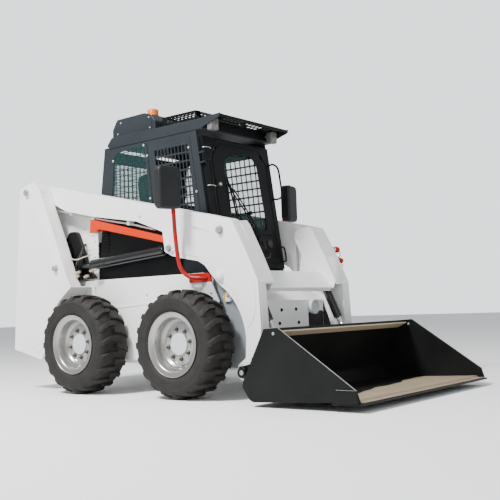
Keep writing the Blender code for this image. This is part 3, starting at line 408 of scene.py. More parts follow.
def addPiece(name, mesh, look, body, slot, bevel=0.0, segments=2, replaced=(), sharp=34.0):
    mesh.materials.clear()
    mesh.materials.append(looks[look])
    mesh.shade_smooth()
    mesh.set_sharp_from_angle(angle=math.radians(sharp))
    piece = bpy.data.objects.new(name, mesh)
    scene.collection.objects.link(piece)
    if bevel > 0.0:
        rounding = piece.modifiers.new("softEdges", "BEVEL")
        rounding.width = bevel
        rounding.segments = segments
        rounding.limit_method = "ANGLE"
        rounding.angle_limit = math.radians(33)
        rounding.harden_normals = True
    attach(piece, body)
    if replaced:
        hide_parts(*replaced)
    return piece


def build(name, shapes, look, body, slot=None, **more):
    return addPiece(name, meshOf(name, shapes), look, body, slot or look, **more)


def refined(node, look=None, bevel=0.004, segments=2):
    # a copy of a frame node's panel with clean faces and soft edges, shown in its place
    bm = bmesh.new()
    bm.from_mesh(nodes[node].data)
    bmesh.ops.remove_doubles(bm, verts=bm.verts, dist=0.00002)
    bmesh.ops.dissolve_limit(bm, angle_limit=math.radians(0.8), verts=bm.verts, edges=bm.edges)
    words = node.split("_")
    title = words[0] + "".join(word.capitalize() for word in words[1:])
    mesh = bpy.data.meshes.new(title)
    bm.to_mesh(mesh)
    bm.free()
    slot = slotOf[node]
    return addPiece(title, mesh, look or slot, bodyOf[node], slot, bevel, segments, (node,))


# geometry node trees for what repeats
def startTree(name, sockets):
    tree = bpy.data.node_groups.new(name, "GeometryNodeTree")
    tree.interface.new_socket("Geometry", in_out="OUTPUT", socket_type="NodeSocketGeometry")
    for title, kind, value in sockets:
        socket = tree.interface.new_socket(title, in_out="INPUT", socket_type="NodeSocket" + kind)
        if value is not None:
            socket.default_value = value
    return tree, tree.nodes.new("NodeGroupInput"), tree.nodes.new("NodeGroupOutput")


def endTree(tree, instances, given, out):
    real = addNode(tree, "GeometryNodeRealizeInstances")
    paint = addNode(tree, "GeometryNodeSetMaterial")
    tree.links.new(instances, real.inputs[0])
    tree.links.new(real.outputs[0], paint.inputs[0])
    tree.links.new(given.outputs["Finish"], paint.inputs["Material"])
    tree.links.new(paint.outputs[0], out.inputs[0])
    return tree


def turnedTree():
    # copies of a piece turned about z
    tree, given, out = startTree(
        "turnedCopies",
        (("Piece", "Object", None), ("Count", "Int", 8), ("Start", "Float", 0.0), ("Jitter", "Float", 0.0),
         ("Seed", "Int", 4), ("Finish", "Material", None)),
    )
    link = tree.links.new
    line = addNode(tree, "GeometryNodeMeshLine")
    line.inputs["Offset"].default_value = (0, 0, 0)
    link(given.outputs["Count"], line.inputs["Count"])
    index = addNode(tree, "GeometryNodeInputIndex").outputs[0]
    share = combine(tree, "DIVIDE", index, given.outputs["Count"])
    shake = addNode(tree, "FunctionNodeRandomValue", data_type="FLOAT")
    link(combine(tree, "MULTIPLY", given.outputs["Jitter"], -1.0), shake.inputs[2])
    link(given.outputs["Jitter"], shake.inputs[3])
    link(given.outputs["Seed"], shake.inputs["Seed"])
    angle = combine(tree, "ADD", combine(tree, "MULTIPLY", share, 2 * math.pi), given.outputs["Start"])
    turn = addNode(tree, "ShaderNodeCombineXYZ")
    link(combine(tree, "ADD", angle, shake.outputs[1]), turn.inputs[2])
    piece = addNode(tree, "GeometryNodeObjectInfo")
    link(given.outputs["Piece"], piece.inputs[0])
    copies = addNode(tree, "GeometryNodeInstanceOnPoints")
    link(line.outputs[0], copies.inputs["Points"])
    link(piece.outputs["Geometry"], copies.inputs["Instance"])
    link(turn.outputs[0], copies.inputs["Rotation"])
    return endTree(tree, copies.outputs[0], given, out)


def rowsTree():
    # copies of a piece in rows, every second row moved over by a shift
    tree, given, out = startTree(
        "rowsOfCopies",
        (("Piece", "Object", None), ("Across", "Int", 4), ("Up", "Int", 4), ("Step Across", "Vector", None),
         ("Step Up", "Vector", None), ("Shift", "Vector", None), ("Seed", "Int", 2), ("Finish", "Material", None)),
    )
    link = tree.links.new
    line = addNode(tree, "GeometryNodeMeshLine")
    line.inputs["Offset"].default_value = (0, 0, 0)
    link(combine(tree, "MULTIPLY", given.outputs["Across"], given.outputs["Up"]), line.inputs["Count"])
    index = addNode(tree, "GeometryNodeInputIndex").outputs[0]
    column = combine(tree, "MODULO", index, given.outputs["Across"])
    row = combine(tree, "FLOOR", combine(tree, "DIVIDE", index, given.outputs["Across"]), 0.0)
    odd = combine(tree, "MODULO", row, 2.0)
    places = []
    for count, step in ((column, "Step Across"), (row, "Step Up"), (odd, "Shift")):
        scaled = addNode(tree, "ShaderNodeVectorMath", operation="SCALE")
        link(given.outputs[step], scaled.inputs[0])
        link(count, scaled.inputs["Scale"])
        places.append(scaled.outputs[0])
    total = places[0]
    for place in places[1:]:
        added = addNode(tree, "ShaderNodeVectorMath", operation="ADD")
        link(total, added.inputs[0])
        link(place, added.inputs[1])
        total = added.outputs[0]
    moved = addNode(tree, "GeometryNodeSetPosition")
    link(line.outputs[0], moved.inputs["Geometry"])
    link(total, moved.inputs["Position"])
    piece = addNode(tree, "GeometryNodeObjectInfo")
    link(given.outputs["Piece"], piece.inputs[0])
    copies = addNode(tree, "GeometryNodeInstanceOnPoints")
    link(moved.outputs[0], copies.inputs["Points"])
    link(piece.outputs["Geometry"], copies.inputs["Instance"])
    return endTree(tree, copies.outputs[0], given, out)


def fixingsTree():
    # a piece on each point of a base mesh, leaning as the point's turn says, with its head at a random angle
    tree, given, out = startTree(
        "fixings",
        (("Points", "Geometry", None), ("Piece", "Object", None), ("Seed", "Int", 7), ("Finish", "Material", None)),
    )
    link = tree.links.new
    lean = addNode(tree, "GeometryNodeInputNamedAttribute", data_type="FLOAT_VECTOR")
    lean.inputs["Name"].default_value = "turn"
    piece = addNode(tree, "GeometryNodeObjectInfo")
    link(given.outputs["Piece"], piece.inputs[0])
    copies = addNode(tree, "GeometryNodeInstanceOnPoints")
    link(given.outputs["Points"], copies.inputs["Points"])
    link(piece.outputs["Geometry"], copies.inputs["Instance"])
    link(lean.outputs[0], copies.inputs["Rotation"])
    spin = addNode(tree, "FunctionNodeRandomValue", data_type="FLOAT")
    spin.inputs[3].default_value = 2 * math.pi
    link(given.outputs["Seed"], spin.inputs["Seed"])
    about = addNode(tree, "ShaderNodeCombineXYZ")
    link(spin.outputs[1], about.inputs[2])
    turned = addNode(tree, "GeometryNodeRotateInstances")
    turned.inputs["Local Space"].default_value = True
    link(copies.outputs[0], turned.inputs["Instances"])
    link(about.outputs[0], turned.inputs["Rotation"])
    return endTree(tree, turned.outputs[0], given, out)


trees = {"turned": turnedTree(), "rows": rowsTree(), "fixings": fixingsTree()}


def grown(kind, name, shapes, look, base=None, **settings):
    # runs a tree on a piece and gives the plain mesh
    pattern = bpy.data.objects.new("pattern", meshOf("pattern", shapes, False))
    carrier = bpy.data.objects.new("carrier", base or bpy.data.meshes.new("base"))
    for item in (pattern, carrier):
        scene.collection.objects.link(item)
    modifier = carrier.modifiers.new("grow", "NODES")
    modifier.node_group = trees[kind]
    values = dict(settings, Piece=pattern, Finish=looks[look])
    for socket in trees[kind].interface.items_tree:
        if socket.in_out == "INPUT" and socket.name in values:
            modifier[socket.identifier] = values[socket.name]
    graph = bpy.context.evaluated_depsgraph_get()
    mesh = bpy.data.meshes.new_from_object(carrier.evaluated_get(graph), depsgraph=graph)
    mesh.name = name
    carrier.modifiers.remove(modifier)
    bpy.data.objects.remove(carrier)
    bpy.data.objects.remove(pattern)
    return mesh


def fixings(name, points, shapes, look, body, slot, seed=7):
    # points are (place, outward direction)
    base = bpy.data.meshes.new("points")
    base.from_pydata([place for place, outward in points], [], [])
    lean = base.attributes.new("turn", "FLOAT_VECTOR", "POINT")
    for i, (place, outward) in enumerate(points):
        lean.data[i].vector = Vector(outward).to_track_quat("Z", "Y").to_euler()
    mesh = grown("fixings", name, shapes, look, base, Seed=seed)
    mesh.transform(Matrix.Translation((0, frontAxleY, 0)))
    return addPiece(name, mesh, look, body, slot)


def clipped(mesh, planes):
    # cuts a mesh back to the inner side of each (point, outward normal) plane and closes it
    bm = bmesh.new()
    bm.from_mesh(mesh)
    for point, outward in planes:
        geometry = bm.verts[:] + bm.edges[:] + bm.faces[:]
        cut = bmesh.ops.bisect_plane(bm, geom=geometry, plane_co=point, plane_no=outward, clear_outer=True)
        rim = [item for item in cut["geom_cut"] if isinstance(item, bmesh.types.BMEdge)]
        bmesh.ops.holes_fill(bm, edges=rim, sides=0)
    bm.to_mesh(mesh)
    bm.free()
    return mesh


def outlinePlanes(outline):
    # planes round a convex (y, z) outline
    points = [Vector((0, y, z)) for y, z in outline]
    middle = sum(points, Vector()) / len(points)
    planes = []
    for first, second in zip(points, points[1:] + points[:1]):
        along = second - first
        outward = Vector((0, along.z, -along.y)).normalized()
        if outward.dot(first - middle) < 0:
            outward = -outward
        planes.append((first, outward))
    return planes


def outwards(mesh):
    # normals made to face out
    bm = bmesh.new()
    bm.from_mesh(mesh)
    bmesh.ops.recalc_face_normals(bm, faces=bm.faces)
    bm.to_mesh(mesh)
    bm.free()
    return mesh


def joined(name, meshes):
    whole = bmesh.new()
    for mesh in meshes:
        whole.from_mesh(mesh)
        bpy.data.meshes.remove(mesh)
    mesh = bpy.data.meshes.new(name)
    whole.to_mesh(mesh)
    whole.free()
    return mesh


def shifted(mesh):
    mesh.transform(Matrix.Translation((0, frontAxleY, 0)))
    return mesh


def domeScrew(radius, height):
    return [
        lathe(
            [(-0.002, 0), (-0.002, radius), (height * 0.4, radius), (height, radius * 0.6), (height, 0)], (0, 0, 0),
            (0, 0, 1), 12
        )
    ]


def hexBolt(radius, height):
    washer = lathe(
        [(-0.002, 0), (-0.002, radius * 1.35), (height * 0.25, radius * 1.3), (height * 0.3, 0)], (0, 0, 0),
        (0, 0, 1), 16
    )
    head = lathe(
        [(0, 0), (0, radius), (height * 0.9, radius), (height, radius * 0.85), (height, 0)], (0, 0, 0), (0, 0, 1), 6
    )
    return [washer, head]


# wheels
tyre = {"radius": 0.410, "half": 0.150, "outerX": 0.8805, "lugs": 20, "lean": 0.30, "crown": 0.385}
rim = {"disc": 0.050, "bead": 0.124, "studs": 8, "studCircle": 0.112, "hub": 0.084, "flange": 0.2435}
wheelbase = 1.1386


def crownAt(across):
    # carcass radius at a distance from the tyre's middle
    share = abs(across) / tyre["half"]
    return tyre["crown"] - 0.006 * share**2 - 0.020 * max(0.0, share - 0.72) / 0.28


def tyreCarcass():
    half = tyre["half"]
    side = [
        (0.114, 0.2100), (0.1245, 0.2180), (0.1275, 0.2440), (0.1285, 0.2465), (0.1360, 0.2560), (0.1440, 0.2680),
        (0.1448, 0.2700), (0.1462, 0.2705), (0.1470, 0.2730), (0.1484, 0.2900), (0.1490, 0.3080), (0.1502, 0.3090),
        (0.1502, 0.3130), (0.1490, 0.3140), (0.1478, 0.3300), (0.1470, 0.3395), (0.1476, 0.3405), (0.1476, 0.3440),
        (0.1466, 0.3450), (0.1440, 0.3540), (0.1400, 0.3610),
    ]
    tread = [(a * half, crownAt(a * half)) for a in (0.86, 0.7, 0.45, 0.2, 0.0)]
    profile = side + tread
    return profile + [(-a, r) for a, r in reversed(profile)][1:]


def lugShape(hand):
    # one tread bar, from the shoulder to just past the middle, its height drawn from the carcass
    bm = bmesh.new()
    stations = (
        (0.1475, 0.330, 0.010), (0.1440, 0.358, 0.020), (0.1300, 0.388, 0.023),
        (0.0950, 0.402, 0.022), (0.0550, 0.408, 0.020), (0.0150, 0.410, 0.019),
        (-0.0120, 0.410, 0.018),
    )
    rings = []
    for across, top, halfWide in stations:
        drift = (0.1475 - across) * tyre["lean"] + 0.018 * math.sin((0.1475 - across) / 0.16 * math.pi) ** 2
        base = min(crownAt(across) - 0.004, top - 0.006)
        ring = []
        for wide, radius in (
            (-halfWide - 0.004, base), (-halfWide, top - 0.003), (-halfWide + 0.004, top), (halfWide - 0.004, top),
            (halfWide, top - 0.003), (halfWide + 0.004, base)
        ):
            angle = (drift + wide) / 0.40
            ring.append(bm.verts.new((radius * math.cos(angle), radius * math.sin(angle), across * hand)))
        rings.append(ring)
    for first, second in zip(rings, rings[1:]):
        for i in range(len(first)):
            j = (i + 1) % len(first)
            bm.faces.new((first[i], first[j], second[j], second[i]))
    bm.faces.new(rings[0])
    bm.faces.new(rings[-1])
    bmesh.ops.recalc_face_normals(bm, faces=bm.faces)
    return bm


def rimSections():
    bead, disc, flange = rim["bead"], rim["disc"], rim["flange"]
    outer = [
        (disc - 0.004, 0.152), (disc + 0.002, 0.160), (disc + 0.010, 0.166), (disc + 0.013, 0.172),
        (disc + 0.010, 0.178), (disc + 0.012, 0.184), (disc + 0.030, 0.190), (bead - 0.012, 0.1965),
        (bead + 0.000, 0.2030), (bead + 0.006, 0.2140), (bead + 0.008, 0.2300), (bead + 0.010, 0.2400),
        (bead + 0.0145, flange), (bead + 0.0120, flange + 0.001), (bead + 0.0045, flange - 0.002),
        (bead + 0.0012, 0.2200), (bead - 0.008, 0.2088), (0.0, 0.2080), (-bead + 0.008, 0.2088),
        (-bead - 0.0012, 0.2200), (-bead - 0.0045, flange - 0.002), (-bead - 0.0120, flange),
        (-bead - 0.0080, 0.2300), (-bead - 0.0040, 0.2080), (-bead + 0.010, 0.1990), (-0.020, 0.1900),
        (disc - 0.030, 0.1600)
    ]
    face = [
        (disc - 0.012, 0.030), (disc + 0.0005, 0.030), (disc + 0.002, 0.100), (disc + 0.004, 0.128),
        (disc + 0.000, 0.142), (disc - 0.002, 0.156), (disc - 0.012, 0.156)
    ]
    return outer, face


def makeWheels():
    rimOuter, rimFace = rimSections()
    for which, y in (("front", 0.0), ("rear", wheelbase)):
        for tag, side in sides:
            name = tag.lower()
            body = f"wheel_{which}_{name}"
            tag = which + tag
            middle = side * (tyre["outerX"] - tyre["half"])
            centre = (middle, y, tyre["radius"])
            axis = (side, 0, 0)
            # wheel frame: local z along the axle outwards, turned so that the middle of a bar meets the ground first
            turnIn = Matrix.Translation(
                (middle, y + frontAxleY, tyre["radius"])
            ) @ Matrix.Rotation(side * math.pi / 2, 4, "Y")
            turnIn = turnIn @ Matrix.Scale(-side, 4, (0, 1, 0)) if side > 0 else turnIn
            pitch = math.pi / tyre["lugs"]
            bars = []
            for hand in (1, -1):
                mesh = grown(
                    "turned", "bars", [lugShape(hand)], "tyre_rubber", Count=tyre["lugs"],
                    Start=0.0 if hand > 0 else pitch, Jitter=0.003, Seed=5,
                )
                mesh.transform(turnIn)
                bars.append(mesh)
            carcass = meshOf("carcass", [lathe(tyreCarcass(), centre, axis, 96, True)])
            whole = outwards(joined("tyre" + tag, [carcass] + bars))
            addPiece(
                "tyre" + tag, whole, "tyre_rubber", body, "tyre_rubber", replaced=(f"tyre_{which}_{name}",),
                sharp=38
            )
            build(
                "rim" + tag, [lathe(rimOuter, centre, axis, 80, True)], "rim_silver", body,
                replaced=(f"rim_{which}_{name}",)
            )
            build("disc" + tag, [lathe(rimFace, centre, axis, 64, True)], "disc_grey", body, "rim_silver")
            groove = [
                (rim["disc"] + 0.0120, 0.1835), (rim["disc"] + 0.0145, 0.1835), (rim["disc"] + 0.016, 0.1860),
                (rim["disc"] + 0.0135, 0.1875)
            ]
            build("rimDust" + tag, [lathe(groove, centre, axis, 80, True)], "rim_dust", body, "rim_silver")
            hub = rim["hub"]
            cap = [
                (0.0505, 0), (0.0505, 0.08), (0.052, hub), (0.060, hub), (0.063, hub - 0.004), (0.064, 0.014),
                (0.067, 0.010), (0.068, 0)
            ]
            build("hub" + tag, [lathe(cap, centre, axis, 48)], "hub_grey", body, "rim_silver")
            studAt = (rim["studCircle"], 0.0, rim["disc"])
            nut = lathe(
                [(0, 0), (0, 0.019), (0.005, 0.018), (0.005, 0.0145), (0.016, 0.0145), (0.018, 0.012), (0.018, 0)],
                studAt, (0, 0, 1), 6
            )
            stem = lathe(
                [(0.010, 0), (0.010, 0.008), (0.030, 0.008), (0.032, 0.006), (0.032, 0)], studAt, (0, 0, 1), 12
            )
            studs = grown(
                "turned", "studs" + tag, [nut, stem], "brass", Count=rim["studs"], Start=0.20, Jitter=0.0, Seed=3
            )
            studs.transform(turnIn)
            addPiece("studs" + tag, outwards(studs), "brass", body, "rim_silver")
            low = Vector((middle + side * 0.090, y - 0.060, tyre["radius"] - 0.165))
            stemEnd = low + Vector((side * 0.020, 0.030, 0.030))
            build(
                "valve" + tag,
                [
                    tube([low, low + Vector((side * 0.016, 0.004, 0.004)), stemEnd], 0.0045, 8),
                    rod(stemEnd, stemEnd + Vector((side * 0.004, 0.016, 0.010)), 0.0065, 10),
                    box(
                        *sorted((middle + side * 0.070, middle + side * 0.112)), y - 0.075, y - 0.045,
                        tyre["radius"] - 0.182, tyre["radius"] - 0.172
                    )
                ],
                "zinc", body, "rim_silver"
            )
    print("wheels made")


makeWheels()


# punched plates
def framed(origin, along, up):
    # places a flat piece (thickness, u, v) so that u runs along one way and v up another
    along, up = Vector(along).normalized(), Vector(up).normalized()
    out = along.cross(up).normalized()
    return Matrix.Translation(origin) @ Matrix((out, along, up)).transposed().to_4x4()


def punched(name, place, outline, start, count, pitch, hole, thick, look, lean=0.0):
    # a border round a block of repeated cells, each cell a small frame round its hole
    across, up = pitch
    wide, high = count[0] * across, count[1] * up
    cornerRadius = 0.0006
    shear = lean * up
    cellOuter = evenLine([(0, 0), (across, 0), (across + shear, up), (shear, up)], cornerRadius, 3)
    marginU, marginV, radius = hole
    cellInner = evenLine(
        [
            (marginU + lean * marginV, marginV), (across - marginU + lean * marginV, marginV),
            (across - marginU + lean * (up - marginV), up - marginV),
            (marginU + lean * (up - marginV), up - marginV)
        ],
        radius, 3
    )
    cells = grown(
        "rows", "cells", [ringSlab(cellOuter, cellInner, 0.0, thick)], look, Across=count[0], Up=count[1],
        **{"Step Across": (0, across, 0), "Step Up": (0, shear, up), "Seed": 1},
    )
    cells.transform(Matrix.Translation((0, start[0], start[1])))
    block = [(0, 0), (wide, 0), (wide + lean * high, high), (lean * high, high)]
    block = [(start[0] + u, start[1] + v) for u, v in block]
    border = meshOf("border", [ringSlab(outline, block, 0.0, thick)], False)
    mesh = joined(name, [border, cells])
    mesh.transform(place)
    return shifted(mesh)


# roof
roof = {"half": 0.457, "fin": 0.010, "visorHoles": (11, 3), "guardHalf": 0.300, "plate": 0.004}


def makeRoof():
    half, fin = roof["half"], roof["fin"]
    header = [(0.010, 2.101), (1.100, 2.101), (1.120, 2.121), (1.059, 2.184), (0.010, 2.184)]
    build(
        "roofHeader", [slab(roundLine([(y, z, 0.006) for y, z in header], 3), -half, half)], "slate_paint",
        "machine", bevel=0.004, replaced=("cab_roof",)
    )
    cheek = [(0.016, 2.103), (0.016, 2.184), (-0.188, 2.193), (-0.176, 2.163), (-0.030, 2.119)]
    for tag, side in sides:
        build(
            "visorCheek" + tag, forSide(side, [slab(cheek, -half, -half + fin)]), "slate_paint", "machine",
            bevel=0.002
        )
    place = framed((0, 0.008, 2.178), (1, 0, 0), (0, -1, 0.045))
    outline = [(-half + fin, 0.0), (half - fin, 0.0), (half - fin, 0.194), (-half + fin, 0.194)]
    visor = punched(
        "visor", place, outline, (-0.315, 0.030), roof["visorHoles"], (0.046, 0.050), (0.0065, 0.0065, 0.0150),
        0.004, "black_paint"
    )
    addPiece("visor", visor, "black_paint", "machine", "black_paint")
    lip = box(-half + fin, half - fin, -0.190, -0.184, 2.163, 2.186)
    rail = box(-half + fin, half - fin, 0.000, 0.010, 2.108, 2.178)
    build("visorLip", [lip, rail], "black_paint", "machine", bevel=0.002)
    guard = roof["guardHalf"]
    hole = (0.0055, 0.0055, 0.010)
    sideOutline = [(0.124, 2.186), (0.588, 2.186), (0.588, 2.308), (0.214, 2.308)]
    sheets = []
    for x in (-guard, guard - roof["plate"]):
        sheets.append(
            punched(
                "sheet", framed((x, 0, 0), (0, 1, 0), (0, 0, 1)), sideOutline, (0.190, 2.200), (9, 2),
                (0.042, 0.046), hole, roof["plate"], "black_paint", -0.35
            )
        )
    top = [(0.0, -guard), (0.366, -guard), (0.366, guard), (0.0, guard)]
    sheets.append(
        punched(
            "sheet", framed((0, 0.220, 2.304), (0, 1, 0), (1, 0, 0)), top, (0.025, -0.275), (7, 12),
            (0.0455, 0.0455), hole, roof["plate"], "black_paint"
        )
    )
    front = [(-guard, 0.0), (guard, 0.0), (guard, 0.148), (-guard, 0.148)]
    sheets.append(
        punched(
            "sheet", framed((0, 0.124, 2.188), (1, 0, 0), (0, 0.60, 0.80)), front, (-0.275, 0.030), (12, 2),
            (0.0455, 0.0455), hole, roof["plate"], "black_paint"
        )
    )
    addPiece("roofGuard", joined("roofGuard", sheets), "black_paint", "machine", "black_paint")
    build("roofPosts", [rod((x, 0.600, 2.180), (x, 0.600, 2.290), 0.007, 12) for x in (-0.285, 0.285)]
          + [tube([(-0.285, 0.600, 2.200), (0.285, 0.600, 2.200)], 0.006, 10, False)], "black_paint", "machine")
    # work lamps below the visor
    for name, x, z in (("Right", -0.400, 2.130), ("Left", 0.375, 2.130)):
        shell = frontSlab(roundBox(x - 0.044, x + 0.044, z - 0.050, z + 0.044, 0.012, 4), -0.088, -0.040)
        build(
            "workLamp" + name, [shell, box(x - 0.012, x + 0.012, -0.042, 0.008, z + 0.006, z + 0.030)], "lamp_body",
            "machine", "white_paint", bevel=0.004
        )
        ribs = [
            box(x - 0.034, x + 0.034, -0.0915, -0.087, z - 0.040 + i * 0.0125, z - 0.032 + i * 0.0125)
            for i in range(7)
        ]
        build(
            "lampFace" + name,
            [frontSlab(roundBox(x - 0.037, x + 0.037, z - 0.043, z + 0.037, 0.008, 4), -0.0895, -0.0875)] + ribs,
            "lamp_face", "machine", "chrome"
        )
    # beacon: black foot, ribbed lens
    lensProfile = [(0.012, 0), (0.012, 0.050)]
    for i in range(6):
        low = 0.014 + i * 0.0085
        lensProfile += [
            (low, 0.0500 - i * 0.0004), (low + 0.005, 0.0510 - i * 0.0004), (low + 0.008, 0.0496 - i * 0.0004)
        ]
    lensProfile += [(0.068, 0.044), (0.073, 0.030), (0.075, 0)]
    spot = (-0.170, 0.830, 2.3735)
    build("beaconLens", [lathe(lensProfile, spot, (0, 0, 1), 40)], "beacon_orange", "machine", replaced=("beacon",))
    build(
        "beaconFoot",
        [
            lathe(
                [(0, 0), (0, 0.060), (0.008, 0.061), (0.014, 0.054), (0.016, 0.0485), (0.016, 0)], spot, (0, 0, 1),
                40
            )
        ],
        "black_paint", "machine"
    )
    for tag, side in sides:
        panel = roundLine(
            [
                (0.665, 2.212, 0.02), (1.115, 2.212, 0.02), (1.115, 2.300, 0.02), (1.055, 2.352, 0.03),
                (0.700, 2.352, 0.05), (0.665, 2.300, 0.02)
            ],
            4
        )
        build(
            "coolerPanel" + tag, forSide(side, [slab(panel, -0.353, -0.349)]), "slate_paint", "machine",
            bevel=0.0015
        )
    screws = [
        ((x, y, z), (side, 0, 0)) for side in (-1, 1) for x in (side * 0.353,) for y,
        z in ((0.69, 2.232), (0.70, 2.325), (1.09, 2.235), (1.05, 2.330))
    ]
    fixings("coolerScrews", screws, domeScrew(0.008, 0.005), "zinc", "machine", "chrome", 11)
    vents = grown(
        "rows", "coolerVents", [box(0, 0.36, 0, 0.010, 0, 0.009)], "black_paint", Across=1, Up=7,
        **{"Step Up": (0, 0, 0.018)}
    )
    vents.transform(Matrix.Translation((-0.18, 1.1600, 2.225)))
    addPiece("coolerVents", shifted(vents), "black_paint", "machine", "black_paint")
    print("roof made")


# cab sides
cabSide = {
    "x": 0.457, "slots": {"right": ((10, 9), (0.039, 0.070)), "left": ((7, 9), (0.055, 0.070))}, "wire": 0.0032,
    "wirePitch": 0.050
}
windowLine = [(1.029, 2.032), (0.875, 2.062), (0.640, 2.062), (0.591, 1.574), (1.065, 1.560)]


def wireMesh(name, outline, place, low, count):
    # crossed wires cut to an outline; the outline and the wires share one flat plane
    wire, pitch = cabSide["wire"], cabSide["wirePitch"]
    high = [max(v[i] for v in outline) for i in (0, 1)]
    upright = rod((0, low[0], low[1] - 0.05), (0, low[0], high[1] + 0.05), wire, 8)
    level = rod((wire * 1.6, low[0] - 0.05, low[1]), (wire * 1.6, high[0] + 0.05, low[1]), wire, 8)
    first = grown(
        "rows", "upright", [upright], "black_paint", Across=count[0], Up=1, **{"Step Across": (0, pitch, 0)}
    )
    second = grown("rows", "level", [level], "black_paint", Across=1, Up=count[1], **{"Step Up": (0, 0, pitch)})
    mesh = clipped(joined(name, [first, second]), outlinePlanes(outline))
    mesh.transform(place)
    return shifted(mesh)


def makeCabSides():
    x = cabSide["x"]
    for tag, side in sides:
        name = tag.lower()
        place = framed((side * (x + 0.001) - 0.002, 0, 0), (0, 1, 0), (0, 0, 1))
        plate = [(0.028, 1.335), (0.512, 1.335), (0.545, 2.052), (0.140, 2.056)]
        count, pitch = cabSide["slots"][name]
        sheet = punched(
            "sideScreen" + tag, place, plate, (0.088, 1.372), count, pitch, (0.0050, 0.0070, 0.004), 0.004,
            "slate_paint", 0.100
        )
        addPiece(
            "sideScreen" + tag, sheet, "slate_paint", "machine", "black_paint", replaced=(f"side_screen_{name}",)
        )
        inner = framed((side * (x - 0.010), 0, 0), (0, 1, 0), (0, 0, 1))
        addPiece(
            "windowWire" + tag, wireMesh("windowWire" + tag, windowLine, inner, (0.615, 1.585), (9, 10)),
            "black_paint", "machine", "black_paint"
        )
        pane = roundLine(
            [
                (1.060, 2.005, 0.03), (1.000, 2.062, 0.05), (0.885, 2.083, 0.05), (0.625, 2.085, 0.02),
                (0.568, 1.545, 0.02), (1.100, 1.530, 0.02)
            ],
            4
        )
        build(
            "sidePane" + tag, forSide(side, [slab(pane, -x - 0.0045, -x - 0.0005)]), "tinted_glass", "machine",
            bevel=0.001, replaced=(f"window_{name}",)
        )
        rim = shrunk(pane, 0.030)
        build(
            "paneBorder" + tag, forSide(side, [ringSlab(pane, rim, -x - 0.0052, -x - 0.0046)]), "slate_paint",
            "machine", "black_paint"
        )
        gutter = [(-0.002, 2.098), (1.090, 2.090), (1.090, 2.100), (-0.002, 2.108)]
        build(
            "gutter" + tag, forSide(side, [slab(gutter, -x - 0.006, -x + 0.002)]), "slate_paint", "machine",
            bevel=0.002
        )
    places = (
        (1.040, 1.975), (0.660, 2.060), (0.595, 1.600), (0.620, 1.965), (1.060, 1.575), (0.150, 1.965),
        (0.075, 1.600), (0.525, 1.640)
    )
    screws = [((side * (x + 0.005), y, z), (side, 0, 0)) for side in (-1, 1) for y, z in places]
    fixings("cabScrews", screws, domeScrew(0.010, 0.006), "zinc", "machine", "chrome", 12)
    back = framed((0, 1.190, 0), (1, 0, 0), (0, 0, 1))
    rearLine = [(-0.330, 1.625), (0.330, 1.625), (0.330, 1.978), (-0.330, 1.978)]
    addPiece(
        "rearWire", wireMesh("rearWire", rearLine, back, (-0.30, 1.65), (13, 7)), "black_paint", "machine",
        "black_paint"
    )
    print("cab sides made")


# front door
door = {"foot": (-0.122, 0.992), "head": (0.026, 2.050), "glassHalf": 0.214}


def onDoor(x, up, out=0.0):
    # up along the door in metres, out towards the front
    foot, head = Vector(door["foot"]), Vector(door["head"])
    along = (head - foot).normalized()
    spot = foot + along * up + Vector((-along.y, along.x)) * out
    return Vector((x, spot.x, spot.y))


def doorPath(*points):
    return [onDoor(*point) for point in points]


def laidOnDoor(bm):
    # a flat piece (out, x, up) moved to the door's face
    for vert in bm.verts:
        vert.co = onDoor(vert.co.y, vert.co.z, vert.co.x)
    bmesh.ops.recalc_face_normals(bm, faces=bm.faces)
    return bm


